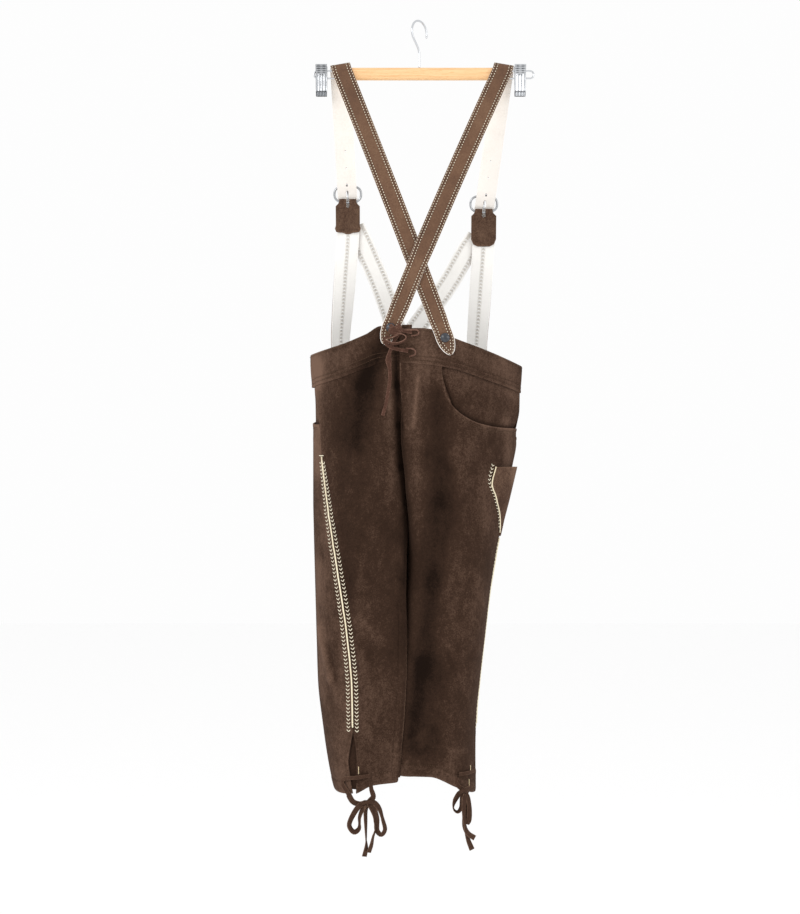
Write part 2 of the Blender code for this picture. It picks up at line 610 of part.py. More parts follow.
def panel(skin, side, part, name):
    """A leg panel from the waistband seam or pocket mouth to the hem, and from the side seam to the centre."""
    sign = 1.0 if part == "back" else -1.0
    even = np.linspace(0, 1, PANEL_COLUMNS)
    even = even - 0.4 * np.sin(2 * math.pi * even) / (2 * math.pi)
    if (side, part) in MOUTHS:
        mouth_s, mouth_z = mouth_line(skin, side, part, MOUTH_SHARES)
        rest = np.linspace(mouth_s[-1], length_of(skin, part, mouth_z[-1]), PANEL_COLUMNS - len(MOUTH_SHARES) + 1)
        top_s = np.concatenate([mouth_s, rest[1:]])
        gap = SEAM_GAP if part == "back" else 3 * SEAM_GAP
        top_z = np.concatenate([mouth_z[:-1], band_seam_at(skin, side, part, rest) - gap])
        top_share = top_s / length_of(skin, part, top_z)
    else:
        top_share = BAND_SHARES
        top_z = band_seam_at(skin, side, part, top_share * length_of(skin, part, -550.0)) - SEAM_GAP
    hem_z = edge_height(skin, side, part, even * length_of(skin, part, -1180.0), "hem", -1180.0)
    down = np.linspace(0, 1, PANEL_ROWS)[:, None]
    upper = top_z + (LEVEL_ROW - top_z) * down / UPPER_PART
    lower = LEVEL_ROW + (hem_z - LEVEL_ROW) * (down - UPPER_PART) / (1 - UPPER_PART)
    z = np.where(down < UPPER_PART, upper, lower)
    blend = np.clip(down / 0.35, 0, 1)
    blend = blend * blend * (3 - 2 * blend)
    share = np.clip(top_share + (even - top_share) * blend, 0, 1)
    edge = vent_edges(side, z[:, :1])[0 if part == "back" else 1]
    inseam = np.where(z[:, -1:] < CROTCH, SEAM_EDGE, 0.0)
    s = edge + share * (length_of(skin, part, z) - edge - inseam)
    outer = on_skin(skin, sign * s, z, 0.0)
    inner = on_skin(skin, sign * s, z, WALL)
    return wall(name, outer, inner, "suede")


def facing(skin, side, part, name):
    """The piece that shows inside a pocket mouth, set behind the panel's edge."""
    sign = 1.0 if part == "back" else -1.0
    mouth_s, mouth_z = mouth_line(skin, side, part, np.linspace(0, 1, 25))
    low_z = mouth_z - 11.0
    s_low = np.linspace(SEAM_EDGE, mouth_s[-1] + 7.0, 13)
    z_low = np.interp(s_low, mouth_s, low_z)
    z_low[-2:] = z_low[-3]
    z_high = band_seam_at(skin, side, part, s_low) + FACING_RISE
    t = np.linspace(0, 1, 5)[:, None]
    z = z_high + (z_low - z_high) * t
    s = np.broadcast_to(s_low, z.shape)
    outer = on_skin(skin, sign * s, z, FACING_DEPTH)
    inner = on_skin(skin, sign * s, z, FACING_DEPTH + FACING_WALL)
    return wall(name, outer, inner, "suede_trim")


def band_grid(skin, side, part, shares):
    """Distances and heights over a waistband, from the side seam to the centre."""
    sign = 1.0 if part == "back" else -1.0
    top = edge_height(skin, side, part, shares * length_of(skin, part, -500.0), "waist", -500.0)
    seam = edge_height(skin, side, part, shares * length_of(skin, part, -550.0), "band_seam", -550.0)
    t = np.linspace(0, 1, 4)[:, None]
    z = top + (seam - top) * t
    s = SEAM_EDGE + shares * (length_of(skin, part, z) - SEAM_EDGE)
    return sign * s, z


def waistband_back(skin, side):
    s, z = band_grid(skin, side, "back", BAND_SHARES)
    outer = on_skin(skin, s, z, -BAND_PROUD)
    inner = on_skin(skin, s, z, WALL)
    return wall(f"waistband_back_{side}", outer, inner, "suede")


def waistband_front(skins):
    """One band from side seam to side seam across the front, bridging the centre seam."""
    shares = BAND_SHARES[:-1]
    grids = []
    for side in ("left", "right"):
        s, z = band_grid(skins[side], side, "front", shares)
        grids.append([on_skin(skins[side], s, z, depth) for depth in (-BAND_PROUD, WALL)])
    outer = np.concatenate([grids[0][0], grids[1][0][:, ::-1]], axis=1)
    inner = np.concatenate([grids[0][1], grids[1][1][:, ::-1]], axis=1)
    return wall("waistband_front", outer, inner, "suede")


def front_flap(skins):
    """The drop flap that closes the front, laid over both front panels and the waistband."""
    t = np.linspace(0, 1, 9)[:, None]
    across = np.array(FLAP_COLUMNS, float)
    share = (across / across[0]) ** FLAP_SQUARENESS
    low = FLAP_FOOT + FLAP_CORNER * (1 - (1 - share) ** (1 / FLAP_SQUARENESS))
    z = FLAP_TOP + (low - FLAP_TOP) * t
    grids = []
    for side in ("left", "right"):
        s = -(length_of(skins[side], "front", z) - across)
        grids.append([on_skin(skins[side], s, z, -FLAP_LIFT - d) for d in (FLAP_WALL, 0.0)])
    outer = np.concatenate([grids[0][0], grids[1][0][:, ::-1]], axis=1)
    inner = np.concatenate([grids[0][1], grids[1][1][:, ::-1]], axis=1)
    return wall("front_flap", outer, inner, "suede")


def knife_pocket(skin):
    """The sheath pocket on the right side seam: an outer wall that stands off the leg, open at its top."""
    table = columns(KNIFE_POCKET_ROWS, KNIFE_POCKET)
    z = np.linspace(KNIFE_POCKET[0][0], KNIFE_POCKET[-1][0], 10)[:, None]
    back = through(table["z"], table["back"], z)
    front = through(table["z"], table["front"], z)
    bulge = through(table["z"], table["bulge"], z)
    t = np.linspace(0, 1, 9)
    s = back + (front - back) * t
    lift = 0.4 + bulge * np.sin(math.pi * t) ** 0.8
    outer = on_skin(skin, s, z, -lift - 1.8)
    inner = on_skin(skin, s, z, -lift)
    return wall("knife_pocket", outer, inner, "suede_trim")


def piping(skin, side, top):
    """The cream cord sewn along a side seam, as a flat raised strip."""
    z = np.linspace(top, VENT_TOP[side] + 6.0, 19)[:, None]
    s = np.array([-1.3, 1.3])
    outer = on_skin(skin, s, z, -2.2)
    inner = on_skin(skin, s, z, -0.3)
    return wall(f"piping_{side}", outer, inner, "piping")


def vent_gusset(skin, side):
    """The strip that backs a side vent, behind the leg's wall."""
    back_hem = edge_height(skin, side, "back", np.array([6.0]), "hem", -1180.0)[0]
    front_hem = edge_height(skin, side, "front", np.array([10.0]), "hem", -1180.0)[0]
    z = np.linspace(VENT_TOP[side] + 8.0, max(back_hem, front_hem) + 3.0, 7)[:, None]
    s = np.linspace(-16.0, 12.0, 8)
    outer = on_skin(skin, s, z, GUSSET_DEPTH)
    inner = on_skin(skin, s, z, GUSSET_DEPTH + FACING_WALL)
    return wall(f"vent_gusset_{side}", outer, inner, "suede_trim")


# ---------------------------------------------------------------- braces


def tongue_widths(path, width, start_point, end_point):
    """A strap's width along its path, narrowing to a rounded point at the chosen ends."""
    s = along(path[:, :3])
    widths = np.full(len(s), width)
    for wanted, distance in ((start_point, s), (end_point, s[-1] - s)):
        if wanted:
            near = np.clip(1 - distance / TONGUE_POINT, 0, 1)
            widths = np.minimum(widths, width * (1 - 0.86 * near ** 1.7))
    return widths


def two_plies(name, path, width, start_point=False, end_point=False):
    """A strap of two plies back to back: the pale lining inside and the brown leather outside."""
    widths = tongue_widths(path, width, start_point, end_point)
    lining = ribbon(f"{name}_lining", path, widths, 0.0, STRAP_PLY, "strap_lining")
    leather = ribbon(name, path, widths, STRAP_PLY + STRAP_PLY_GAP, STRAP_PLY, "strap_leather")
    return leather, lining


def front_plane(z):
    """How far forward the front of the braces hangs at a height."""
    return 8.0 + 0.179 * (-70.0 - z)


def brace(side):
    """One strap from its back button, across the back, over the bar and down in front to its buckle."""
    other = "right" if side == "left" else "left"
    bx, bz = BACK_BUTTONS[other]
    tx = BAR_CROSSING[side]
    kx, kz = BUCKLES[side]
    radius = BAR_DEPTH / 2 + BAR_CLEARANCE
    turn_z = BAR_TOP + 0.8 - radius
    turn = np.radians(np.arange(0, 181, 20))
    lean = np.interp(turn, (0, math.pi), ((tx - bx) / (turn_z - bz), (tx - kx) / (kz - turn_z)))
    x = tx + radius * (np.cumsum(lean) - 0.5 * lean.sum()) * turn[1]
    rise = np.array([x[0] - bx, 0.0, turn_z - bz])
    rise /= np.linalg.norm(rise)
    seat = np.array([bx, TONGUE_PLANE, bz])
    leave = seat + rise * 16.0
    arrive = np.array([x[0], -radius - 0.3, turn_z]) - rise * 5.0
    points = [(*(seat - rise * 27.0), 0, -1, 0), (*seat, 0, -1, 0), (*leave, 0, -1, 0)]
    for share in (0.08, 0.16, 0.26, 0.36, 0.5, 0.7, 0.9, 1.0):
        nearer = NEARER[side] * math.sin(math.pi * min(1.0, share / 0.5)) ** 2
        points.append((*(leave + (arrive - leave) * share + np.array([0, nearer, 0])), 0, -1, 0))
    back = smooth_path(points, 13.0)
    over = np.stack([x, -radius * np.cos(turn), turn_z + radius * np.sin(turn),
                     0 * turn, -np.cos(turn), np.sin(turn)], axis=1)
    points = []
    for z, forward in [(-100, 0.0), (-150, 0.0)] + [(kz + above, forward) for above, forward in BRACE_FRONT]:
        share = (z - turn_z) / (kz - turn_z)
        points.append((x[-1] + (kx - x[-1]) * share, front_plane(z) + forward, z, 0, 1, 0.18))
    front = smooth_path(points, 11.0)
    return two_plies(f"strap_{side}", np.vstack([back, over, front]), STRAP_WIDTH, True, True)


def front_seat(skin, side):
    """Where a straight front strap lies on the waistband at its button, and the way the band faces there."""
    x, z = FRONT_BUTTONS[side]
    s = -distance_at_x(skin, "front", x, z)
    seat = on_skin(skin, s, z, -BAND_PROUD - SEAM_GAP - 0.6)
    outwards = seat - on_skin(skin, s, z, 0.0)
    return seat, outwards / np.linalg.norm(outwards)


def diagonal_layer(side):
    """The right slanting strap lies on the left one at the middle button."""
    return 0.0 if side == "left" else STRAP_THICK + DIAGONAL_LAYER


def middle_seat(skins, side):
    """Where a slanting strap lies over the flap at the middle button."""
    x, z = MIDDLE_BUTTON
    skin = skins["left"]
    plane = on_skin(skin, 6.0 - length_of(skin, "front", z), z, 0.0)[1]
    return np.array([x, plane + FLAP_LIFT + FLAP_WALL + 1.6 + diagonal_layer(side), z])


def front_strap(side, skins):
    """The straight strap from the buckle patch down to its button on the front waistband."""
    kx, kz = BUCKLES[side]
    seat, facing = front_seat(skins[side], side)
    top_z = kz - 30.0
    points = [(kx, front_plane(z) + 2.3, z, 0, 1, 0.15) for z in (top_z, top_z - 24.0)]
    start = np.array([kx, front_plane(top_z - 24) + 2.3, top_z - 24.0])
    end = seat + np.array([0, 0, 44.0]) + facing * 1.5
    for share in (0.33, 0.66):
        mid = start + (end - start) * share
        face = np.array([0, 1, 0.1]) * (1 - share) + facing * share
        points.append((*mid, *face))
    points.append((*end, *facing))
    for drop in (14.0, 0.0, -22.0):
        points.append((*(seat + np.array([0, 0, drop])), *facing))
    path = smooth_path(points, 13.0)
    return two_plies(f"front_strap_{side}", path, FRONT_STRAP_WIDTH, False, True)


def diagonal_strap(side, skins):
    """The slanting strap from the buckle patch to the middle button of the front waistband."""
    kx, kz = BUCKLES[side]
    inwards = 1.0 if side == "left" else -1.0
    seat = middle_seat(skins, side)
    middle_y = front_plane(DIAGONAL_MIDDLE_Z) + 6.5 + 0.5 * diagonal_layer(side)
    start = np.array([kx + 12.0 * inwards, front_plane(kz - 36) + 6.3, kz - 36.0])
    middle = np.array([DIAGONAL_MIDDLE[side], middle_y, DIAGONAL_MIDDLE_Z])
    near = seat + np.array([-12.0 * inwards, -5.0, 48.0])
    above = seat + np.array([-3.0 * inwards, 0, 14.0])
    tip = seat + np.array([2.0 * inwards, 0, -20.0])
    points = [(*point, 0, 1, 0.15) for point in (start, start + (middle - start) * 0.45, middle)]
    points.append((*near, 0, 1, 0.12))
    points += [(*point, 0, 1, 0) for point in (above, seat, tip)]
    path = smooth_path(points, 13.0)
    return two_plies(f"diagonal_strap_{side}", path, DIAGONAL_WIDTH, False, True)


def buckle_patch(side):
    """The suede piece that holds the buckle's bar and covers the ends of the two front straps. Its top tab is
    slotted for the prong."""
    kx, kz = BUCKLES[side]
    outline = [(0.0, PATCH_SLOT_FOOT)] + list(PATCH_HALF) + [(-x, z) for x, z in reversed(PATCH_HALF)]
    corners = [(kx + x, front_plane(kz + z), kz + z) for x, z in outline]
    return plate(f"buckle_patch_{side}", corners, (0, PATCH_THICK, 0), "suede_trim")


def buckle(side):
    """A rounded steel frame on the patch's bar, and its prong through the strap's hole."""
    kx, kz = BUCKLES[side]
    angle = np.linspace(0, 2 * math.pi, 22, endpoint=False)
    c, s = np.cos(angle), np.sin(angle)
    squared = 2 / BUCKLE_SQUARENESS
    x = kx + BUCKLE_HALF_WIDTH * np.sign(c) * np.abs(c) ** squared
    rise = BUCKLE_HALF_HEIGHT * (1 + np.sign(s) * np.abs(s) ** squared)
    y = front_plane(kz + rise) + BUCKLE_LIFT + BUCKLE_TILT * rise / (2 * BUCKLE_HALF_HEIGHT)
    frame = tube(f"buckle_frame_{side}", np.stack([x, y, kz + rise], axis=1), BUCKLE_WIRE, "steel")
    frame.data.splines[0].use_cyclic_u = True
    frame.data.use_fill_caps = False
    prong = [(kx, front_plane(kz + above) + forward, kz + above) for above, forward in PRONG]
    tube(f"buckle_prong_{side}", prong, PRONG_THICK, "steel")


def prong_hole(side, plies):
    """Cuts the oblong hole that the prong goes through in both plies of a strap."""
    kx, kz = BUCKLES[side]
    centre = Vector((kx, front_plane(kz) + 4.0, kz + BUCKLE_HALF_HEIGHT))
    bpy.ops.mesh.primitive_cylinder_add(vertices=16, radius=PRONG_HOLE_RADIUS * MM, depth=30 * MM,
                                        location=centre * MM, rotation=(math.pi / 2, 0, 0))
    cutter = bpy.context.object
    cutter.name = f"prong_hole_{side}"
    cutter.data.transform(Matrix.Diagonal((1.0, PRONG_HOLE_LONG, 1.0, 1.0)))
    cutter.hide_render = True
    cutter.display_type = "WIRE"
    for owner in list(cutter.users_collection):
        owner.objects.unlink(cutter)
    CUTTERS.objects.link(cutter)
    for ply in plies:
        cut = ply.modifiers.new("Prong hole", "BOOLEAN")
        cut.operation = "DIFFERENCE"
        cut.object = cutter


def buttons(skins):
    """Two on the back, one for each straight front strap, two for the flap and one in the middle."""
    base = STRAP_THICK + SEAM_GAP
    for side, skin in skins.items():
        x, z = BACK_BUTTONS[side]
        button(f"button_back_{side}", SMALL_BUTTON, (x, TONGUE_PLANE - base, z), (0, -1, 0))
        seat, facing = front_seat(skin, side)
        button(f"button_front_{side}", LARGE_BUTTON, seat + facing * base, facing)
        s = FLAP_BUTTON_FROM_CENTRE - length_of(skin, "front", FLAP_BUTTON_Z)
        outside = on_skin(skin, s, FLAP_BUTTON_Z, -(FLAP_LIFT + FLAP_WALL + SEAM_GAP))
        button(f"button_flap_{side}", LARGE_BUTTON, outside, outside - on_skin(skin, s, FLAP_BUTTON_Z, 0.0))
    button("button_front_middle", LARGE_BUTTON, middle_seat(skins, "right") + np.array([0, base, 0]), (0, 1, 0))


# ---------------------------------------------------------------- hanger


def hanger():
    """The wooden bar, its turned hook, and a wire loop with a sliding clip at each end."""
    box("hanger_bar", (BAR_LENGTH, BAR_DEPTH, BAR_TOP - BAR_BOTTOM), (BAR_CENTRE_X, 0, (BAR_TOP + BAR_BOTTOM) / 2),
        5.9, "wood")
    turn = math.radians(HOOK_TURN)
    stem = [(0.0, BAR_TOP + SEAM_GAP), (0.0, -56.0), (-1.5, -44.0), (-8.5, -34.5), (-14.8, -27.0)]
    centre_z = HOOK_THICK / 2 - HOOK_RADIUS
    arc = [(HOOK_RADIUS * math.cos(math.radians(a)), centre_z + HOOK_RADIUS * math.sin(math.radians(a)))
           for a in range(195, -16, -15)]
    path = [(h * math.cos(turn), h * math.sin(turn), z) for h, z in stem + arc]
    tube("hanger_hook", path, HOOK_THICK, "steel")
    high, low = WIRE_HEIGHTS
    bend = (high - low) / 2
    for side, sign in (("left", -1), ("right", 1)):
        end = BAR_CENTRE_X + sign * (BAR_LENGTH / 2 + SEAM_GAP)
        centre = end + sign * (WIRE_REACH[side] - bend)
        loop = [(centre + sign * bend * math.sin(a), 0.0, low + bend + bend * math.cos(a))
                for a in np.radians(range(0, 181, 30))]
        tube(f"hanger_wire_{side}", [(end, 0, high)] + loop + [(end, 0, low)], WIRE_THICK, "steel")
        clip(side)


def clip(side):
    """A spring clip on the two wires: two sprung plates joined between the wires, meeting at the foot."""
    outline = list(CLIP_PLATE + CLIP_GAP)
    outline += [(-y, z) for y, z in reversed(outline)]
    outline += [(-y, z) for y, z in reversed(CLIP_HEAD)] + list(CLIP_HEAD)
    corners = [(CLIP_X[side] - CLIP_WIDTH / 2, y, z) for y, z in outline]
    return plate(f"hanger_clip_{side}", corners, (CLIP_WIDTH, 0, 0), "steel")


# ---------------------------------------------------------------- the whole


def build():
    skins = {"left": skin_of("left", LEFT_SECTIONS), "right": skin_of("right", RIGHT_SECTIONS)}
    for side, skin in skins.items():
        for part in ("back", "front"):
            panel(skin, side, part, f"{part}_{side}")
        waistband_back(skin, side)
        vent_gusset(skin, side)
        prong_hole(side, brace(side))
        front_strap(side, skins)
        diagonal_strap(side, skins)
        buckle_patch(side)
        buckle(side)
    for side, part in MOUTHS:
        facing(skins[side], side, part, f"pocket_facing_{part}_{side}")
    waistband_front(skins)
    front_flap(skins)
    knife_pocket(skins["right"])
    piping(skins["left"], "left", -674.0)
    piping(skins["right"], "right", -800.0)
    buttons(skins)
    hanger()
    for name, points in LACES.items():
        tube(name, smooth_path(points, 9.0), LACE_THICK, "suede_trim")


for existing in list(bpy.data.objects):
    bpy.data.objects.remove(existing, do_unlink=True)
GARMENT = collection_of("lederhosen")
CUTTERS = collection_of("cutters")
build()
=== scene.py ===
"""Kniebund lederhosen of dark brown suede on a clip hanger: the finished look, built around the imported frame.

Sizes are in millimetres until a mesh is made. +Z is up, the back faces -Y and the wearer's right is +X. The
origin is the inner top of the hanger's hook.

Each half of the breeches is a skin given by horizontal sections. A place on it is an arc distance from the side
seam (towards the back is positive), a height, and a lift off the leather's outer face. Panels, bands, pockets,
cords and stitches are all stretches of that skin, so they share its folds.
"""

import json
import math

import bmesh
import bpy
import numpy as np
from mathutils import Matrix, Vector

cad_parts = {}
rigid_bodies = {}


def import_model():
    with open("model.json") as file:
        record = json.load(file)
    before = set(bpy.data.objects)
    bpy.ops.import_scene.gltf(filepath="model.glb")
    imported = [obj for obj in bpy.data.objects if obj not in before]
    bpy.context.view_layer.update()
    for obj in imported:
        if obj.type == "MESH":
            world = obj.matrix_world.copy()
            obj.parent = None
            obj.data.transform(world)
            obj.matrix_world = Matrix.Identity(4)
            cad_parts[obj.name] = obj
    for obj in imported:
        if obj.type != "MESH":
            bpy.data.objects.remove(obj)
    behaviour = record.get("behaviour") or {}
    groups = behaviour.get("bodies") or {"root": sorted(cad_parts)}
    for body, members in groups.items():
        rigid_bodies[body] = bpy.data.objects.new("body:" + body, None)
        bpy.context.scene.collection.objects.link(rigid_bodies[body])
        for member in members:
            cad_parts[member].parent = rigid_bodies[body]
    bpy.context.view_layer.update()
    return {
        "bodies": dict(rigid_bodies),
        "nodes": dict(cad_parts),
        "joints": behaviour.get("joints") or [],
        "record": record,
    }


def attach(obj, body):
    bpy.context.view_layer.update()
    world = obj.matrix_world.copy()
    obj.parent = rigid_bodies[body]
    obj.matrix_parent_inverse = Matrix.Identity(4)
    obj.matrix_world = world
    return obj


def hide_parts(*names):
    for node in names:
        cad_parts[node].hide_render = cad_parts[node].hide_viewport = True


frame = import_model()
MM = 0.001
SIDES = ("left", "right")
# Which way arc distance is counted from the side seam, and which way is outwards from the middle
COUNTED = {"back": 1.0, "front": -1.0}
AWAY = {"left": -1.0, "right": 1.0}
OTHER = {"left": "right", "right": "left"}

# ---------------------------------------------------------------- sizes

# The hide, how far the waistband stands proud of it, and the gaps where pieces meet
WALL = 2.0
BAND_PROUD = 0.6
SEAM_GAP = 0.3
SEAM_EDGE = 0.2
CENTRE_GAP = 0.3
# Pieces behind and over the hide: pocket facings, vent gussets and the drop flap
FACING_WALL = 1.5
FACING_RISE = 6.0
FACING_DEPTH = WALL + 2.0
GUSSET_DEPTH = WALL + 1.3
FLAP_LIFT = 1.9
FLAP_WALL = 2.2
# Straps: one ply, two plies back to back, and their widths
STRAP_PLY = 1.5
STRAP_PLY_GAP = 0.3
STRAP_THICK = 2 * STRAP_PLY + STRAP_PLY_GAP
STRAP_WIDTH = 30.0
FRONT_STRAP_WIDTH = 35.0
DIAGONAL_WIDTH = 32.0
# Where a slanting strap's two braids run, as shares of its half width
DIAGONAL_BRAIDS = (-0.66, 0.66)
# A brace's pointed tongue: how long the point is, how the brace narrows from its end by distance, and the plane
# that its back button holds it on
TONGUE_POINT = 30.0
BRACE_NARROWED = ((42.0, 60.0, 130.0, 165.0), (0.84, 0.91, 0.93, 1.0))
TONGUE_PLANE = -79.3
# How far each brace bows away from the back between its button and the bar
NEARER = {"left": 0.4, "right": -4.8}
# How far each brace hangs to one side of its straight line
BRACE_BOW = {"left": 1.2, "right": -2.6}
DIAGONAL_LAYER = 1.2
# The hanger. A brace crosses its bar with a little clearance and tilt
BAR_CLEARANCE = 1.1
BAR_TILT = 0.18
BAR_LENGTH = 271.0
BAR_CENTRE_X = 4.9
BAR_DEPTH = 12.0
BAR_STRAIGHT = 0.965
BAR_TOP = -71.0
BAR_BOTTOM = -90.4
WIRE_THICK = 2.6
WIRE_HEIGHTS = (-75.7, -87.3)
HOOK_THICK = 3.2
HOOK_RADIUS = 18.0
HOOK_TURN = 50.0
WIRE_REACH = {"left": 32.2, "right": 36.5}
CLIP_WIDTH = 17.6
CLIP_X = {"left": -151.7, "right": 156.0}
# The drop flap: half width, top and foot, and its rounded lower corners
FLAP_HALF = 76.0
FLAP_TOP = -514.0
FLAP_FOOT = -716.0
FLAP_CORNER = 56.0
FLAP_SQUARENESS = 4
# Where each edge line is looked for first
EDGE_LEVEL = {"waist": -500.0, "band_seam": -550.0, "hem": -1180.0}
# A leg panel's upper rows, this share of them, run down to a level one
LEVEL_ROW = -658.0
LEVEL_SHARE = 5 / 22
# Where each side seam's cord begins
CORD_TOP = {"left": -674.0, "right": -800.0}
CORD_THICK = {"seam": 2.4, "sheath": 2.0, "end": 1.2}

# Where both halves' walls come together: at the back, at the front, and from the crotch down at the inseam
CROTCH = -826.0
# slant: how much the parting plane turns; a positive one brings the left leg in front of the right one
CENTRE_ROWS = "z back_x front_x cb_y cf_y slant"
CENTRE = (
    (-465, -31.0, -22.0, -76.5, 86.0, 0.00),
    (-560, -30.5, -22.0, -76.5, 86.0, 0.00),
    (-588, -28.0, -22.0, -72.0, 86.0, 0.00),
    (-620, -26.5, -22.0, -58.0, 85.0, -0.04),
    (-660, -23.0, -22.0, -50.0, 80.0, -0.08),
    (-710, -18.5, -20.0, -46.0, 74.0, -0.07),
    (-765, -18.0, -18.0, -40.0, 60.0, 0.00),
    (-800, -20.0, -20.0, -26.0, 36.0, 0.05),
    (-826, -22.5, -22.5, 0.0, 0.0, 0.09),
    (-880, -30.2, -30.2, 1.0, 1.0, 0.16),
    (-957, -37.5, -37.5, 1.0, 1.0, 0.21),
    (-1050, -41.0, -41.0, 0.0, 0.0, 0.21),
    (-1120, -44.3, -44.3, 0.0, 0.0, 0.20),
    (-1210, -46.0, -46.0, 0.0, 0.0, 0.18),
)
SLANT_REACH = 45.0

# A row for each height of a half: its side extreme, its back and front extremes, the side seam's place, and how
# square the curve between two extremes is (2 is an ellipse, less is leaner). behind: how far the left back runs
# behind the right one at the back slit, and how deep.
SECTION_ROWS = "z out_x out_y back_x back_y front_x front_y seam_x lean cb_lean cf_lean behind behind_y"
LEFT_SECTIONS = (
    (-465, -169.8, 6, -95, -78, -72, 90, -168.8, 1.38, 1.6, 2.0, 19.0, 8.0),
    (-516, -168.6, 6, -95, -78, -72, 90, -167.6, 1.38, 1.6, 2.0, 19.0, 8.0),
    (-562, -166.4, 6, -95, -78, -72, 90, -159.5, 1.42, 1.6, 2.0, 17.0, 9.0),
    (-581, -165.3, 6, -95, -78, -72, 90, -157.0, 1.46, 1.6, 2.0, 0.0, 7.0),
    (-601, -164.9, 6, -94, -79, -72, 91, -155.4, 1.50, 1.6, 2.0, 0.0, 3.0),
    (-630, -164.9, 6, -94, -80, -73, 91, -152.6, 1.55, 1.7, 2.0, 0.0, 0.0),
    (-671, -164.9, 6, -93, -82, -74, 91, -148.8, 1.62, 1.9, 2.0, 0.0, 0.0),
    (-740, -164.8, 5, -92, -86, -76, 90, -139.6, 1.74, 2.6, 2.2, 0.0, 0.0),
    (-786, -163.8, 4, -91, -89, -78, 89, -132.5, 1.82, 3.4, 2.6, 0.0, 0.0),
    (-868, -161.6, 3, -90, -92, -82, 88, -119.8, 1.95, 6.0, 3.0, 0.0, 0.0),
    (-950, -159.2, 2, -90, -90, -85, 86, -107.8, 2.05, 14.0, 3.0, 0.0, 0.0),
    (-1020, -157.0, 2, -88, -86, -86, 83, -101.6, 2.05, 20.0, 3.0, 0.0, 0.0),
    (-1087, -149.5, 3, -86, -80, -86, 79, -100.6, 2.05, 20.0, 3.0, 0.0, 0.0),
    (-1130, -143.5, 4, -85, -76, -85, 76, -99.5, 2.05, 18.0, 2.9, 0.0, 0.0),
    (-1170, -136.0, 5, -85, -73, -85, 74, -98.5, 2.05, 16.0, 2.8, 0.0, 0.0),
    (-1210, -124.0, 5, -82, -72, -85, 73, -98.0, 2.05, 16.0, 2.8, 0.0, 0.0),
)
RIGHT_SECTIONS = (
    (-465, 161.0, 6, 50, -78, 40, 90, 160.6, 1.38, 3.0, 2.0, 0.0, 0.0),
    (-528, 159.0, 6, 50, -78, 40, 90, 158.6, 1.38, 3.0, 2.0, 0.0, 0.0),
    (-560, 157.4, 6, 50, -78, 40, 90, 157.0, 1.42, 3.0, 2.0, 0.0, 0.0),
    (-601, 156.5, 6, 49, -79, 40, 91, 156.1, 1.48, 4.2, 2.0, 0.0, 0.0),
    (-636, 150.6, 6, 48, -80, 40, 91, 150.2, 1.55, 4.6, 2.0, 0.0, 0.0),
    (-650, 150.4, 6, 47, -81, 40, 91, 150.0, 1.58, 4.6, 2.0, 0.0, 0.0),
    (-690, 143.5, 6, 46, -84, 40, 91, 143.1, 1.64, 4.6, 2.0, 0.0, 0.0),
    (-740, 133.5, 5, 44, -86, 40, 90, 133.1, 1.74, 4.6, 2.0, 0.0, 0.0),
    (-795, 123.5, 4, 42, -87, 40, 90, 123.1, 1.85, 4.0, 2.4, 0.0, 0.0),
    (-834, 116.5, 3, 41, -88, 41, 90, 116.1, 1.95, 3.8, 2.8, 0.0, 0.0),
    (-880, 109.0, 2, 40, -89, 40, 91, 108.6, 2.00, 6.0, 3.0, 0.0, 0.0),
    (-950, 101.0, 2, 38, -87, 38, 90, 100.6, 2.05, 12.0, 3.0, 0.0, 0.0),
    (-1020, 93.0, 2, 34, -83, 34, 86, 92.6, 2.05, 18.0, 3.0, 0.0, 0.0),
    (-1070, 88.0, 2, 31, -79, 31, 81, 87.6, 2.05, 18.0, 3.0, 0.0, 0.0),
    (-1120, 86.2, 3, 29, -75, 29, 75, 85.8, 2.05, 16.0, 2.9, 0.0, 0.0),
    (-1210, 86.5, 5, 27, -72, 27, 73, 86.1, 2.05, 14.0, 2.8, 0.0, 0.0),
)

# Heights of the edges across each half, from the side seam inwards: waist top, waistband seam and hem
EDGE_ROWS = "x waist band_seam"
EDGES = {
    ("left", "back"): ((-169, -516, -567), (-115, -503, -553), (-81, -489.5, -539), (-60, -477.5, -530.5),
                       (-12, -474.5, -526)),
    ("right", "back"): ((-31, -481, -532), (0, -480.5, -534.5), (20, -482.5, -536.3), (54, -496.5, -542.5),
                        (94, -510, -555), (159, -533.5, -575)),
    ("left", "front"): ((-169, -516, -567), (-95, -507, -558), (-22, -503, -554)),
    ("right", "front"): ((-22, -503, -554), (65, -509, -560), (159, -533.5, -575)),
}
HEM_ROWS = "x z"
HEMS = {
    ("left", "back"): ((-98, -1181), (-72, -1168), (-31, -1163)),
    ("right", "back"): ((-31, -1154), (15, -1155), (57, -1173), (86, -1190)),
    ("left", "front"): ((-139, -1187), (-98, -1181), (-31, -1163)),
    ("right", "front"): ((-31, -1154), (30, -1170), (86, -1190)),
}

# Curved pocket mouths: how far from the side seam they start on the waistband seam, and where they reach the
# side seam. The back one starts at a place across the back.
MOUTH_POWER = 2.6
# Columns: start_z, start_x, width, side_z
MOUTHS = {
    ("right", "back"): (-537.8, 33.1, None, -630.0),
    ("left", "front"): (-560.0, None, 92.0, -624.0),
    ("right", "front"): (-562.0, None, 92.0, -643.0),
}

# Side vents: the slit's half widths towards the back and the front, by how far below its top
VENT_TOP = {"left": -1087.0, "right": -1092.0}
VENT_OPEN = {"left": 1.0, "right": 0.45}
VENT_ROWS = "drop back front"
VENT = ((-10, 0.2, 0.2), (0, 0.2, 0.2), (18, 3.0, 4.5), (45, 4.5, 10.0), (75, 3.5, 7.0), (95, 2.0, 3.5),
        (130, 2.0, 3.0))
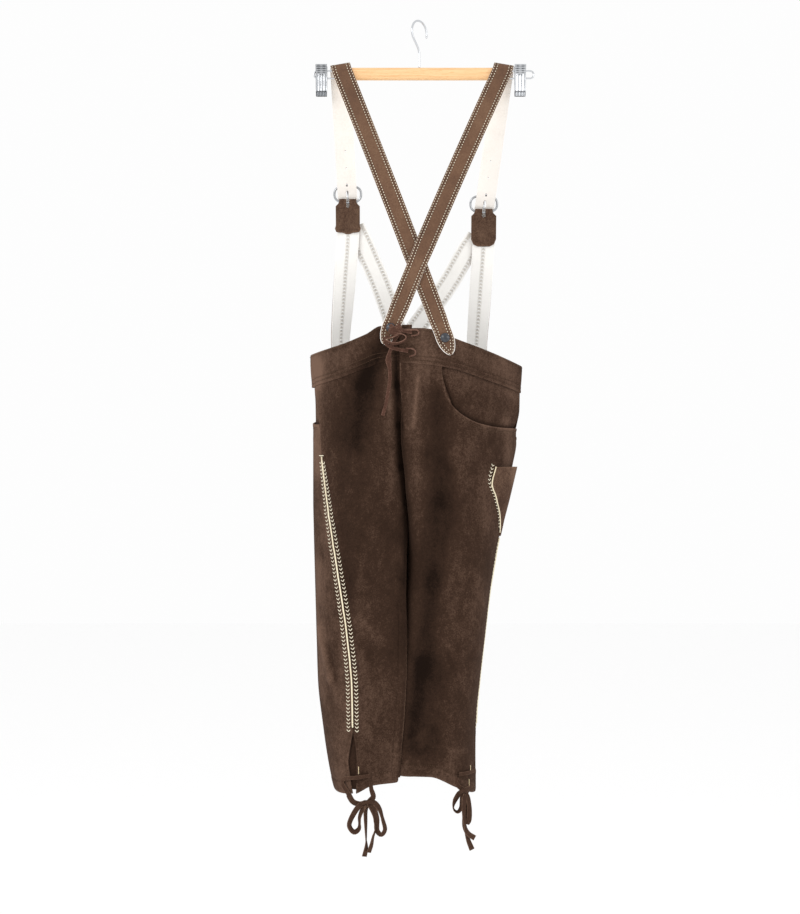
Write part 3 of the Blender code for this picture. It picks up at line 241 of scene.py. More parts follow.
# How far the right side seam runs forward of the side, by height
SEAM_FORWARD = ((-1090, 0.0), (-1060, 3.0), (-1010, 8.0), (-930, 8.0), (-880, 3.5), (-840, -1.5), (-800, -3.0),
                (-775, 0.0))

SHEATH_WALL = 1.8
KNIFE_POCKET_ROWS = "z back front bulge"
KNIFE_POCKET = (
    (-689, 59.0, -12, 9.8),
    (-712, 63.5, -12, 8.8),
    (-740, 45, -12, 6.0),
    (-765, 25, -11, 3.0),
    (-796, 4, -8, 1.0),
)

BACK_BUTTONS = {"left": (-44.0, -480.5), "right": (37.4, -495.5)}
BAR_CROSSING = {"left": -121.0, "right": 129.0}
BUCKLES = {"left": (-112.5, -272.0), "right": (102.5, -287.0)}
FRONT_BUTTONS = {"left": (-122.0, -527.0), "right": (91.0, -532.0)}
MIDDLE_BUTTON = (-22.0, -524.0)
FLAP_BUTTON_Z = -530.0
FLAP_BUTTON_FROM_CENTRE = 60.0
SMALL_BUTTON = (14.0, 4.0)
LARGE_BUTTON = (17.0, 5.0)

# The front of a brace: how far above its buckle's bar, and how far it stands off the plane of the front
# above, forward
BRACE_FRONT = ((60, -0.6), (40, -1.6), (26, -1.4), (13, 3.0), (0, 8.2), (-12, 10.4), (-34, 10.6), (-58, 10.6))

# Where a slanting strap passes half way down, across the garment
DIAGONAL_MIDDLE = {"left": -60.0, "right": 44.0}
DIAGONAL_MIDDLE_Z = -402.0

# Buckle patch and buckle, as across and above the buckle's bar
PATCH_THICK = 2.0
PATCH_SLOT_FOOT = -8.5
PATCH_HALF = ((14.0, 5.0), (15.0, -1.0), (20.5, -6.0), (20.5, -42.0), (17.0, -49.5), (10.0, -53.0))
# The frame is a squared oval of round wire that tilts forward a little
BUCKLE_HALF_WIDTH = 21.0
BUCKLE_HALF_HEIGHT = 13.0
BUCKLE_SQUARENESS = 2.6
BUCKLE_WIRE = 3.6
BUCKLE_LIFT = 4.3
BUCKLE_TILT = 1.4
PRONG_THICK = 2.2
# The prong, as above the bar and forward
PRONG = ((3.6, 4.2), (8.0, 4.0), (12.0, 5.0), (18.0, 7.6), (24.0, 9.4), (29.0, 9.6))
PRONG_HOLE_RADIUS = 2.4
PRONG_HOLE_LONG = 2.2

# Laces: x, y, z of points along each thong; they hang free
LACES = {
    "back_lace_upper": (
        (-12, -80.6, -487.5), (-22, -84, -486), (-31, -89, -484), (-40, -91, -482), (-45, -91, -488),
        (-36, -93, -490), (-26, -95, -491), (-20.5, -95.5, -496), (-25.5, -96, -502), (-37.5, -96.5, -505.5),
        (-48.5, -96, -502.5), (-53, -95, -499), (-40, -94.5, -494.5), (-31, -92, -489.5), (-35, -90.5, -495),
        (-41, -89.5, -504), (-44, -86, -514), (-47, -83, -523), (-47, -80.2, -531), (-45, -78.8, -547),
        (-45.5, -78.2, -562), (-48, -77.8, -577), (-50.5, -77.6, -592), (-56, -77.6, -612),
    ),
    "back_lace_lower": (
        (-18, -80.6, -515.5), (-30, -84, -513.5), (-42, -88, -511), (-50, -91, -506), (-53.5, -92.5, -499.5),
        (-48, -92, -494),
    ),
    "hem_lace_left_back": (
        (-74, -75.4, -1161), (-73, -78, -1172), (-70, -80, -1183), (-76, -82, -1190), (-68, -84, -1191.5),
        (-60.5, -83, -1201), (-55.5, -81, -1218), (-52.5, -80, -1232), (-58, -79, -1240), (-64.5, -79, -1233),
        (-65, -82, -1214), (-70, -84, -1198), (-77, -85.5, -1192), (-73, -84.5, -1199), (-67, -81, -1214),
        (-66.5, -79.5, -1230), (-70.5, -78.5, -1244), (-73, -78, -1256), (-77, -78, -1267),
    ),
    "hem_lace_left_front": (
        (-74, -77, -1152), (-96, -77.5, -1155), (-113, -68, -1158), (-117, -63, -1166), (-109, -68, -1179),
        (-101, -75, -1191), (-90, -79, -1194), (-80, -81, -1191), (-91, -84, -1196), (-101, -82, -1211),
        (-106, -80, -1226), (-99, -79, -1236), (-91, -79, -1230), (-90.5, -82, -1213), (-84, -84, -1197),
        (-79, -86, -1192), (-81.5, -82, -1205), (-81.3, -79, -1224), (-80.8, -78, -1246), (-80.8, -78, -1260),
        (-83.5, -78, -1273),
    ),
    "hem_lace_right_back": (
        (56, -67.4, -1157), (54.5, -68, -1163), (58, -66, -1170), (65, -63, -1177), (59, -60, -1183),
        (53, -58, -1194), (51, -57, -1206), (57, -57, -1211), (62.5, -58, -1204), (64, -62, -1188),
        (67, -65, -1178), (69, -62, -1192), (67.5, -60, -1215), (67.5, -59, -1232), (73, -59, -1243),
        (83, -59, -1250),
    ),
    "hem_lace_right_front": (
        (59, -66.6, -1152), (73, -52, -1153), (83.5, -25, -1155), (86.5, -5, -1157), (87, 3, -1164),
        (86.5, 0, -1171), (84.5, -14, -1174), (80, -31, -1176), (74, -46, -1177), (67, -60, -1178),
        (72.5, -62, -1188), (75, -60, -1206), (74.5, -57, -1222), (71.5, -56, -1227), (69.5, -58, -1210),
        (68, -64, -1186), (66.5, -66, -1196), (66.5, -62, -1218), (69.5, -58, -1238), (73.5, -57, -1254),
        (79, -57, -1268),
    ),
}
BACK_THONG_WIDTH = 5.0
HEM_THONG_WIDTH = 8.5
THONG_THICK = 1.5
THONG_FACING = np.array([0.15, -1.0, 0.1])
LEG_X = {"left": -85.0, "right": 57.0}
LEAF_HEIGHT = -530.0
# How far each thong is twisted on edge, by how far from its free end
THONG_TWISTS = {
    "back_lace_upper": ((0, 0.0), (120, 0.0)),
    "back_lace_lower": ((0, 0.0), (30, 0.0)),
    "hem_lace_left_back": ((0, 0.9), (10, 1.0), (20, 1.15), (36, 1.15), (50, 0.3), (92, 0.3), (125, 0.9),
                           (165, 0.9), (185, 0.2)),
    "hem_lace_left_front": ((0, 0.0), (12, 0.3), (24, 1.05), (74, 1.05), (84, 1.0), (118, 1.1), (134, 0.2), (175, 0.1)),
    "hem_lace_right_back": ((0, 0.0), (60, 0.5), (75, 0.8), (92, 1.15), (125, 1.15), (140, 0.3)),
    "hem_lace_right_front": ((0, 0.2), (40, 0.6), (70, 0.5), (95, 0.2), (200, 0.2)),
}

# ---------------------------------------------------------------- tables and curves


def columns(names, rows):
    """A table as a dictionary of arrays, its rows in rising order of their first column."""
    values = np.array(sorted(rows), float)
    return dict(zip(names.split(), values.T))


def through(xs, ys, at):
    """A smooth line through a table's rows that never overshoots them."""
    rise = np.diff(ys) / np.diff(xs)
    same = rise[1:] * rise[:-1] > 0
    total = np.where(same, rise[1:] + rise[:-1], 1.0)
    inner = np.where(same, 2 * rise[1:] * rise[:-1] / total, 0.0)
    slope = np.concatenate([rise[:1], inner, rise[-1:]])
    at = np.clip(at, xs[0], xs[-1])
    i = np.clip(np.searchsorted(xs, at) - 1, 0, len(xs) - 2)
    h = xs[i + 1] - xs[i]
    t = (at - xs[i]) / h
    start = (1 + 2 * t) * (1 - t) ** 2 * ys[i] + t * (1 - t) ** 2 * h * slope[i]
    return start + t * t * (3 - 2 * t) * ys[i + 1] - t * t * (1 - t) * h * slope[i + 1]


def along(points):
    """Distance along a polyline at each of its points."""
    steps = np.linalg.norm(np.diff(points, axis=0), axis=1)
    return np.concatenate([[0.0], np.cumsum(steps)])


def unit(vectors):
    """Each vector divided by its length."""
    return vectors / np.linalg.norm(vectors, axis=-1, keepdims=True)


def placed_along(points, s, at):
    """The points of a polyline at chosen distances, given the distance of each of its own."""
    return np.stack([np.interp(at, s, column) for column in points.T], axis=1)


def ridge(distance, at, wide):
    """1 on a line, falling off to both sides as a Gaussian of this width."""
    return np.exp(-((distance - at) / wide) ** 2)


def circle(count):
    """Cosine and sine at even steps round a circle."""
    angle = np.linspace(0, 2 * math.pi, count, endpoint=False)
    return np.cos(angle), np.sin(angle)


def squared(value, power):
    """A circle's cosine or sine pushed out towards a square: its size to a power below 1, its sign kept."""
    return np.sign(value) * np.abs(value) ** power


def smooth_path(points, spacing):
    """Points about this far apart on a Catmull-Rom curve through the given ones."""
    points = np.array(points, float)
    ends = np.vstack([2 * points[0] - points[1], points, 2 * points[-1] - points[-2]])
    fine = []
    for a, b, c, d in zip(ends[:-3], ends[1:-2], ends[2:-1], ends[3:]):
        t = np.linspace(0, 1, 16, endpoint=False)[:, None]
        fine.append(b + 0.5 * t * (c - a) + t * t * (a - 2.5 * b + 2 * c - 0.5 * d)
                    + t ** 3 * (1.5 * (b - c) + 0.5 * (d - a)))
    fine = np.vstack(fine + [points[-1:]])
    s = along(fine[:, :3])
    even = np.linspace(0, s[-1], max(2, round(s[-1] / spacing) + 1))
    return placed_along(fine, s, even)


# ---------------------------------------------------------------- the leather skin

SKIN_STEP = 3.0
SKIN_SAMPLES = 160
QUARTER_POINTS = 110
NORMAL_SPREAD = 3.0

# Folds of the back, each a ridge or a hollow along a straight run: x and z of its two ends, half width, height
# (a hollow is negative), and how much lighter it is coloured (a hollow is darker), partly worn nap and partly
# painted light on ridges and painted shade in hollows.
BACK_FOLDS = (
    (-58, -508, -86, -562, 13, -3.0, -0.66),
    (-82, -555, -100, -650, 20, -4.5, -0.62),
    (-72, -570, -84, -640, 12, -1.5, -0.34),
    (-104, -560, -122, -640, 12, -2.0, -0.15),
    (-90, -720, -85, -860, 26, 0.0, -0.16),
    (-46, -524, -47, -600, 6, 2.0, 0.42),
    (-45, -600, -43, -735, 9, 1.2, 0.24),
    # Painted shade down the parting between the two halves.
    (-36, -520, -34.5, -566, 4.0, -3.0, -0.85),
    (-34, -566, -31.5, -626, 4.6, -3.0, -0.90),
    (-31, -626, -28, -690, 4.4, -2.2, -0.75),
    (-27, -690, -20.5, -745, 4.2, -1.5, -0.62),
    (-20.5, -745, -20, -860, 4.4, -1.5, -0.55),
    (-17, -545, -16, -640, 6, 1.5, 0.20),
    (-3, -556, -10, -628, 3.5, 2.0, 0.50),
    (-4, -540, -4, -700, 10, 2.5, 0.18),
    (-1, -700, -2, -800, 9, 1.8, 0.14),
    (10, -740, 8, -950, 12, 0.0, -0.18),
    (26, -580, 30, -740, 13, -4.0, -0.44),
    (30, -740, 20, -860, 14, -3.5, -0.46),
    (20, -860, 8, -990, 15, -3.0, -0.50),
    (2, -985, -14, -1105, 13, -3.5, -0.88),
    (24, -990, 14, -1110, 16, -2.0, -0.40),
    (-36, -800, -34, -960, 22, 0.0, -0.30),
    (-24, -860, -26, -950, 9, 0.0, -0.26),
    (46, -700, 48, -775, 10, -1.5, -0.26),
    (52, -760, 84, -930, 24, 2.5, 0.08),
    (75, -800, 70, -950, 32, 0.0, -0.06),
    (58, -930, 84, -965, 9, 1.5, 0.14),
    (64, -630, 60, -720, 16, 2.0, 0.10),
    (100, -695, 98, -775, 13, 1.0, 0.24),
    (137, -625, 135, -705, 10, 0.0, 0.55),
    (-118, -690, -108, -900, 10, -1.6, -0.22),
    (-132, -870, -126, -1050, 12, 0.0, -0.12),
    (-70, -700, -86, -880, 15, 2.5, 0.04),
    (-90, -900, -80, -1080, 14, 2.5, 0.20),
    (-84, -920, -62, -950, 9, 1.0, 0.18),
    (-60, -960, -52, -1040, 10, 1.6, 0.06),
    (-152, -935, -134, -1010, 5, 3.0, 0.40),
    (-140, -960, -128, -1010, 5, -2.6, -0.30),
    (-134, -1010, -116, -1050, 6, 2.2, 0.20),
    # Painted light along the left leg's outer edge.
    (-160, -500, -160, -545, 16, 0.0, 0.95),
    (-160, -545, -160, -690, 13, 0.0, 0.60),
    (-160, -845, -153, -1030, 12, 0.0, 0.60),
    (-20, -1106, 4, -1090, 5, 2.2, 0.30),
    (2, -1102, 62, -1118, 5, 1.4, 0.18),
    (-80, -1128, -78, -1165, 16, 0.0, 0.16),
    (-40, -1110, -42, -1150, 12, 0.0, 0.20),
    (-100, -770, -60, -790, 8, 1.4, 0.14),
    (-84, -760, -64, -700, 7, 1.2, 0.14),
    (84, -640, 60, -700, 9, 1.6, 0.14),
    (36, -880, 60, -820, 7, 1.4, 0.10),
    (-128, -520, -100, -545, 14, 1.5, 0.20),
    (60, -505, 110, -535, 12, 1.5, 0.14),
    (128, -532, 148, -575, 16, 0.0, 0.28),
    (-28, -1112, -26, -1140, 12, 0.0, 0.12),
    (8, -490, 8, -540, 22, 0.0, 0.28),
)
# Folds of the front, as those of the back: each ridge coloured paler with painted light, each hollow darker with
# painted shade.
FRONT_FOLDS = (
    (-110, -720, -70, -850, 14, 3.0, 0.30),
    (-130, -760, -90, -900, 12, -3.5, -0.40),
    (-90, -900, -96, -1090, 14, 3.0, 0.30),
    (-60, -930, -64, -1120, 12, -3.0, -0.30),
    (80, -720, 44, -860, 14, 3.0, 0.30),
    (100, -740, 70, -880, 12, -3.0, -0.35),
    (40, -900, 34, -1100, 14, 3.0, 0.30),
    (62, -930, 60, -1110, 12, -3.0, -0.30),
    (-30, -770, -100, -800, 10, -2.5, -0.35),
    (-12, -780, 70, -800, 10, -2.5, -0.35),
)


def section(row, centre, side):
    """The outer outline of one half at one height, from the centre back round the side to the centre front: four
    quarters of a super-ellipse, joined at the back, side and front extremes."""
    half_gap = AWAY[side] * 0.5 * CENTRE_GAP
    cb_x = centre["back_x"] + half_gap + row["behind"]
    cb_y = centre["cb_y"] + row["behind_y"]
    cf_x = centre["front_x"] + half_gap
    angle = np.linspace(0, math.pi / 2, QUARTER_POINTS)
    s, c = np.sin(angle), np.cos(angle)
    s[0], c[-1] = 0.0, 0.0
    quarters = (
        (row["back_x"], cb_y, cb_x, row["back_y"], row["cb_lean"], c, s),
        (row["back_x"], row["out_y"], row["out_x"], row["back_y"], row["lean"], s, c),
        (row["front_x"], row["out_y"], row["out_x"], row["front_y"], row["lean"], c, s),
        (row["front_x"], centre["cf_y"], cf_x, row["front_y"], row["cf_lean"], s, c),
    )
    outline = [np.stack([x0 + (x1 - x0) * across ** (2 / power), y0 + (y1 - y0) * forth ** (2 / power)], axis=1)[:-1]
               for x0, y0, x1, y1, power, across, forth in quarters]
    return np.vstack(outline + [np.array([[cf_x, centre["cf_y"]]])])


def skin_of(side, rows):
    """The skin of one half: for each height, place and inward normal from the side seam to each centre."""
    table, centre_table = columns(SECTION_ROWS, rows), columns(CENTRE_ROWS, CENTRE)
    heights = np.arange(-1212.0, -463.0, SKIN_STEP)
    skin = {"z": heights, "side": side}
    found = {"back": [], "front": []}
    for z in heights:
        row = {name: float(through(table["z"], table[name], z)) for name in table}
        centre = {name: float(through(centre_table["z"], centre_table[name], z)) for name in centre_table}
        if z < CROTCH:
            centre["front_x"], centre["cf_y"] = centre["back_x"], centre["cb_y"]
        outline = section(row, centre, side)
        outline[:, 0] -= centre["slant"] * outline[:, 1] * ridge(outline[:, 0], centre["back_x"], SLANT_REACH)
        s = along(outline)
        even = np.linspace(0, s[-1], 4 * SKIN_SAMPLES)
        ahead = placed_along(outline, s, np.minimum(even + NORMAL_SPREAD, s[-1]))
        behind = placed_along(outline, s, np.maximum(even - NORMAL_SPREAD, 0))
        tangent = unit(ahead - behind)
        inward = -AWAY[side] * np.stack([tangent[:, 1], -tangent[:, 0]], axis=1)
        reach = np.abs(outline[QUARTER_POINTS - 1:2 * QUARTER_POINTS - 1, 0] - row["back_x"])
        seam = np.interp(abs(row["seam_x"] - row["back_x"]), reach, s[QUARTER_POINTS - 1:2 * QUARTER_POINTS - 1])
        seam = seam + seam_forward(side, z)
        for part, end in (("back", 0.0), ("front", s[-1])):
            at = np.linspace(seam, end, SKIN_SAMPLES)
            found[part].append(np.hstack([placed_along(outline, s, at), placed_along(inward, even, at),
                                          np.full((SKIN_SAMPLES, 1), abs(end - seam))]))
    for part, layers in found.items():
        layers = np.array(layers)
        skin[part] = layers[:, :, :4]
        skin[part + "_length"] = layers[:, 0, 4]
    return skin


def seam_forward(side, z):
    """How far forward of its straight line a side seam runs at each height."""
    heights, forward = np.array(SEAM_FORWARD).T
    return np.interp(z, heights, forward) if side == "right" else 0.0 * z


def length_of(skin, part, z):
    """How far it is over the skin from the side seam to the centre, at each height."""
    return np.interp(z, skin["z"], skin[part + "_length"])


def flat_place(skin, s, z):
    """x and y of the unfolded skin at an arc distance and a height, with the direction inwards."""
    level = np.clip((z - skin["z"][0]) / SKIN_STEP, 0, len(skin["z"]) - 1.001)
    k = level.astype(int)
    f = (level - k)[..., None]
    values = np.zeros(s.shape + (4,))
    for part, here in (("back", s >= 0), ("front", s < 0)):
        u = np.clip(np.abs(s) / length_of(skin, part, z), 0, 1) * (SKIN_SAMPLES - 1.001)
        j = u.astype(int)
        g = (u - j)[..., None]
        grid = skin[part]
        low = grid[k, j] * (1 - g) + grid[k, j + 1] * g
        high = grid[k + 1, j] * (1 - g) + grid[k + 1, j + 1] * g
        values = np.where(here[..., None], low * (1 - f) + high * f, values)
    return values[..., :2], unit(values[..., 2:])


def step(low, high, value):
    """A smooth step from 0 at low to 1 at high."""
    t = np.clip((value - low) / (high - low), 0, 1)
    return t * t * (3 - 2 * t)


def runs(table, x, z):
    """The summed height of straight folds and how much lighter they colour the leather, with painted light and shade: a
    Gaussian across each run, faded over its ends.
    """
    high, tone_and_shading = np.zeros(x.shape), np.zeros(x.shape)
    for x0, z0, x1, z1, wide, height, light in table:
        length = math.hypot(x1 - x0, z1 - z0)
        ux, uz = (x1 - x0) / length, (z1 - z0) / length
        t = (x - x0) * ux + (z - z0) * uz
        off = (x - x0) * uz - (z - z0) * ux
        past = np.maximum(np.maximum(-t, t - length), 0)
        fade = ridge(past, 0, 1.3 * wide) * ridge(off, 0, wide)
        high += height * fade
        tone_and_shading += light * fade
    return high, tone_and_shading


def slight_creases(rng, many, z_low, z_high):
    """Rows of small random creases for a table of folds."""
    rows = []
    for _ in range(many):
        x0, z0 = rng.uniform(-165, 155), rng.uniform(z_low, z_high)
        angle, long = rng.normal(math.pi / 2, 0.6), rng.uniform(8, 38)
        high = rng.uniform(0.35, 1.0) * rng.choice((-1, 1))
        # Each crease is coloured by its height: painted light on a ridge, painted shade in a hollow.
        rows.append((x0, z0, x0 + long * math.cos(angle), z0 + long * math.sin(angle), rng.uniform(2.6, 7), high,
                     0.17 * high))
    return tuple(rows)


CREASES = np.random.default_rng(7)
FOLDS = {"back": BACK_FOLDS + slight_creases(CREASES, 170, -1180, -500),
         "front": FRONT_FOLDS + slight_creases(CREASES, 70, -1180, -500)}


def fold(place, inward, z):
    """How far the folds lift the skin, and the painted light and shade that they colour it with: back folds where it
    faces back, front ones where it faces forward."""
    x = place[..., 0]
    facing_back = step(-0.05, 0.45, inward[..., 1])
    facing_front = step(-0.05, 0.45, -inward[..., 1])
    high, tone_and_shading = runs(FOLDS["back"], x, z)
    more, lighter = runs(FOLDS["front"], x, z)
    calm = 1 - 0.65 * step(-560, -530, z)
    return (high * facing_back + more * facing_front) * calm, tone_and_shading * facing_back + lighter * facing_front


def lie(skin, s, z, lift):
    """Points of the folded skin at a lift off it, and their tone with the painted light and shade of the folds.
    Positive lift is outwards.
    """
    s, z, lift = np.broadcast_arrays(np.asarray(s, float), np.asarray(z, float), np.asarray(lift, float))
    place, inward = flat_place(skin, s, z)
    high, tone_and_shading = fold(place, inward, z)
    part = np.where(s >= 0, length_of(skin, "back", z), length_of(skin, "front", z))
    high = high * step(0, 16, part - np.abs(s)) * step(-1206, -1190, z)
    xy = place - inward * (lift + high)[..., None]
    return np.concatenate([xy, z[..., None]], axis=-1), tone_and_shading


def outward(skin, s, z):
    """The direction straight out of the leather."""
    inward = flat_place(skin, np.asarray(s, float), np.asarray(z, float))[1]
    return np.concatenate([-inward, np.zeros(inward.shape[:-1] + (1,))], axis=-1)


def distance_at_x(skin, part, x, z):
    """How far from the side seam the skin of this part reaches a place across the garment."""
    u = np.linspace(0, 1, 240)
    reach = float(length_of(skin, part, z))
    xs = flat_place(skin, COUNTED[part] * u * reach, np.full(u.shape, float(z)))[0][:, 0]
    far = int(np.argmax(np.abs(xs - xs[-1])))
    xs, u = xs[far:], u[far:]
    order = np.argsort(xs)
    return float(np.interp(x, xs[order], u[order]) * reach)


def edge_height(skin, part, s, edge):
    """Height of a named edge line at each arc distance, found on the skin in three steps from its level."""
    side = skin["side"]
    table = columns(EDGE_ROWS, EDGES[side, part]) if edge != "hem" else columns(HEM_ROWS, HEMS[side, part])
    s = np.asarray(s, float)
    z = np.full(s.shape, EDGE_LEVEL[edge])
    for _ in range(3):
        x = flat_place(skin, COUNTED[part] * s, z)[0][..., 0]
        z = through(table["x"], table["z" if edge == "hem" else edge], x)
    return z


def vent_edges(side, z):
    """How far the slit's back and front edges stand from the side seam at a height."""
    table = columns(VENT_ROWS, VENT)
    drop = VENT_TOP[side] - z
    share = np.where(drop > 0, VENT_OPEN[side], 1.0)
    back = np.interp(drop, table["drop"], table["back"]) * share
    front = np.interp(drop, table["drop"], table["front"]) * share
    return np.maximum(back, SEAM_EDGE), np.maximum(front, SEAM_EDGE)


def mouth_line(skin, part, across):
    """The pocket mouth, by shares of its width, from the side seam (0) to where it starts on the band (1)."""
    start_z, start_x, width, side_z = MOUTHS[skin["side"], part]
    down = (1 - across ** MOUTH_POWER) ** (1 / MOUTH_POWER)
    z = start_z + (side_z - start_z) * down
    if start_x is None:
        return width * across, z
    side_x = flat_place(skin, np.array(0.0), np.array(side_z))[0][0]
    x = side_x + (start_x - side_x) * across
    s = np.array([distance_at_x(skin, part, xi, zi) for xi, zi in zip(x, z)])
    s[across < 1e-6] = 0.0
    return s, z


# ---------------------------------------------------------------- making meshes


def placed(name, points, faces, finish, tone_and_shading=None, flat_over=50.0):
    """A mesh object from points in millimetres, its faces turned outwards, with a tone_and_shading attribute that holds
    its tone and its painted light and shade.
    """
    mesh = bpy.data.meshes.new(name)
    mesh.from_pydata((np.asarray(points) * MM).tolist(), [], faces)
    work = bmesh.new()
    work.from_mesh(mesh)
    bmesh.ops.recalc_face_normals(work, faces=work.faces)
    work.to_mesh(mesh)
    work.free()
    if tone_and_shading is not None:
        mesh.attributes.new("tone_and_shading", "FLOAT", "POINT").data.foreach_set("value", np.ravel(tone_and_shading).astype(np.float32))
    mesh.materials.append(finish)
    mesh.shade_smooth()
    mesh.set_sharp_from_angle(angle=math.radians(flat_over))
    obj = bpy.data.objects.new(name, mesh)
    bpy.context.scene.collection.objects.link(obj)
    return obj


def kept(obj, slot, *nodes):
    """Every piece rides on the one body, and may stand for nodes of the frame."""
    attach(obj, "root")
    if nodes:
        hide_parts(*nodes)


def grid_faces(rows, cols, start=0, closed=False):
    """Quads of a grid of points; closed joins its last column to its first."""
    index = start + np.arange(rows * cols).reshape(rows, cols)
    right = np.roll(index, -1, axis=1) if closed else index[:, 1:]
    left = index if closed else index[:, :-1]
    return np.stack([left[:-1], right[:-1], right[1:], left[1:]], axis=-1).reshape(-1, 4)


def tube_faces(rows, cols, closed=False, start=0):
    """Faces of a run of closed rings: its last ring is joined to its first, or one face closes each end."""
    faces = grid_faces(rows, cols, start, True).tolist()
    first, last = (np.arange(cols) + start + row * cols for row in (0, rows - 1))
    if closed:
        return faces + np.stack([last, np.roll(last, -1), np.roll(first, -1), first], axis=-1).tolist()
    return faces + [first.tolist(), last.tolist()]


def wall(name, outer, inner, finish, tone_and_shading, round_off=0.6):
    """A closed wall between two grids of points, with its four rims rounded by a small bevel."""
    rows, cols = outer.shape[:2]
    count = rows * cols
    index = np.arange(count).reshape(rows, cols)
    faces = [grid_faces(rows, cols), grid_faces(rows, cols, count)]
    for rim in (index[0], index[-1], index[:, 0], index[:, -1]):
        faces.append(np.stack([rim[:-1], rim[1:], rim[1:] + count, rim[:-1] + count], axis=-1))
    points = np.concatenate([outer.reshape(-1, 3), inner.reshape(-1, 3)])
    obj = placed(name, points, np.concatenate(faces).tolist(), finish, np.concatenate([tone_and_shading.ravel(), tone_and_shading.ravel()]))
    if round_off:
        soft = obj.modifiers.new("Rounded rims", "BEVEL")
        soft.width = round_off * MM
        soft.segments = 2
        soft.limit_method = "ANGLE"
        soft.angle_limit = math.radians(60)
    return obj


def across_and_out(line, facing):
    """The two directions square to a flat strip's line: across it, and out of its face."""
    ahead = unit(np.gradient(line, axis=0))
    across = unit(np.cross(ahead, facing))
    return across, np.cross(across, ahead)


def swept(name, points, across, out, profile, finish, width=1.0, tone_and_shading=0.0):
    """A closed profile of (across, out) pairs carried along a path; width scales it across at each point."""
    profile = np.asarray(profile, float)
    width = np.broadcast_to(width, len(points))[:, None, None]
    rings = (points[:, None] + across[:, None] * profile[None, :, :1] * width
             + out[:, None] * profile[None, :, 1:])
    return placed(name, rings.reshape(-1, 3), tube_faces(*rings.shape[:2]), finish,
                  np.broadcast_to(tone_and_shading, rings.shape[:2]))


def round_wire(name, points, thick, finish, closed=False, sides=14, taper=None, tone_and_shading=0.0):
    """A round wire or cord: a circle carried along a path by parallel transport, with slightly domed ends."""
    points = np.asarray(points, float)
    ahead = unit(np.roll(points, -1, axis=0) - np.roll(points, 1, axis=0) if closed else np.gradient(points, axis=0))
    start = np.array([0, 0, 1.0]) if abs(ahead[0, 2]) < 0.8 else np.array([1.0, 0, 0])
    across = np.zeros_like(points)
    across[0] = np.cross(ahead[0], start)
    for i in range(len(points)):
        across[i] = across[max(i - 1, 0)] - ahead[i] * np.dot(across[max(i - 1, 0)], ahead[i])
        across[i] /= np.linalg.norm(across[i])
    c, s = circle(sides)
    radius = 0.5 * thick
    if not closed:
        tip = ahead[[0, -1]] * radius * 0.45 * np.array([[-1], [1]])
        points = np.vstack([points[:1] + tip[:1], points, points[-1:] + tip[1:]])
        ahead, across = (np.vstack([v[:1], v, v[-1:]]) for v in (ahead, across))
    out = np.cross(ahead, across)
    scale = np.ones(len(points)) if taper is None else np.interp(np.linspace(0, 1, len(points)), *taper)
    if not closed:
        scale = scale * np.concatenate([[0.55], np.ones(len(points) - 2), [0.55]])
    ring = radius * (across[:, None] * c[None, :, None] + out[:, None] * s[None, :, None])
    rings = points[:, None] + ring * scale[:, None, None]
    return placed(name, rings.reshape(-1, 3), tube_faces(len(points), sides, closed), finish,
                  np.full(rings.shape[:2], tone_and_shading))


def turned(name, profile, centre, facing, finish, steps=40, flat_over=40.0):
    """A profile of (radius, height) pairs turned about an axis and set at a centre, facing out along it. The
    first and last pairs lie on the axis."""
    profile = np.asarray(profile, float)
    out = np.asarray(facing, float) / np.linalg.norm(facing)
    side = np.cross(out, (0, 0, 1.0) if abs(out[2]) < 0.9 else (1.0, 0, 0))
    side /= np.linalg.norm(side)
    up = np.cross(out, side)
    c, s = circle(steps)
    around = side * c[:, None] + up * s[:, None]
    ring = around[None] * profile[1:-1, 0, None, None] + out * profile[1:-1, 1, None, None]
    poles = out * profile[[0, -1], 1][:, None]
    points = np.concatenate([ring.reshape(-1, 3), poles]) + np.asarray(centre, float)
    rows = len(profile) - 2
    faces = grid_faces(rows, steps, closed=True).tolist()
    first, last = rows * steps, rows * steps + 1
    faces += [[first, (i + 1) % steps, i] for i in range(steps)]
    low = (rows - 1) * steps
    faces += [[last, low + i, low + (i + 1) % steps] for i in range(steps)]
    return placed(name, points, faces, finish, None, flat_over)


def merged(name, parts):
    """Several mesh objects of one finish joined as one piece."""
    bpy.ops.object.select_all(action="DESELECT")
    for part in parts:
        part.select_set(True)
    bpy.context.view_layer.objects.active = parts[0]
    bpy.ops.object.join()
    parts[0].name = name
    parts[0].data.name = name
    return parts[0]


def flat_cut(across, down):
    """Width, length and area in metres of a piece laid flat, from its unrolled grid in millimetres."""
    across, down = np.broadcast_arrays(across, down)
    grid = np.stack([across, down], axis=-1)
    falling, rising = grid[1:, 1:] - grid[:-1, :-1], grid[1:, :-1] - grid[:-1, 1:]
    area = 0.5 * np.abs(falling[..., 0] * rising[..., 1] - falling[..., 1] * rising[..., 0]).sum()
    return np.array([np.ptp(across), np.ptp(down), area * MM]) * MM


def cut_from_hide(piece, slot, nodes):
    """Keeps a piece of leather on the one body, standing for these nodes."""
    kept(piece, slot, *nodes)
    return piece


# One stitch: a bean of thread along x, its two ends dipping into the leather
BEAN_SIDES = 6
BEAN_ALONG = np.array([-0.46, -0.26, 0.26, 0.46])
BEAN_SWELL = np.array([0.55, 1.0, 1.0, 0.55])


def bean():
    """Points and faces of a stitch of unit length, width and height: rings along x that swell in the middle."""
    c, s = circle(BEAN_SIDES)
    rings = np.stack([np.broadcast_to(BEAN_ALONG[:, None], (4, BEAN_SIDES)),
                      0.5 * BEAN_SWELL[:, None] * c,
                      0.5 * BEAN_SWELL[:, None] * s + 0.16 * (BEAN_SWELL[:, None] - 1)], axis=-1)
    return rings.reshape(-1, 3), tube_faces(4, BEAN_SIDES)


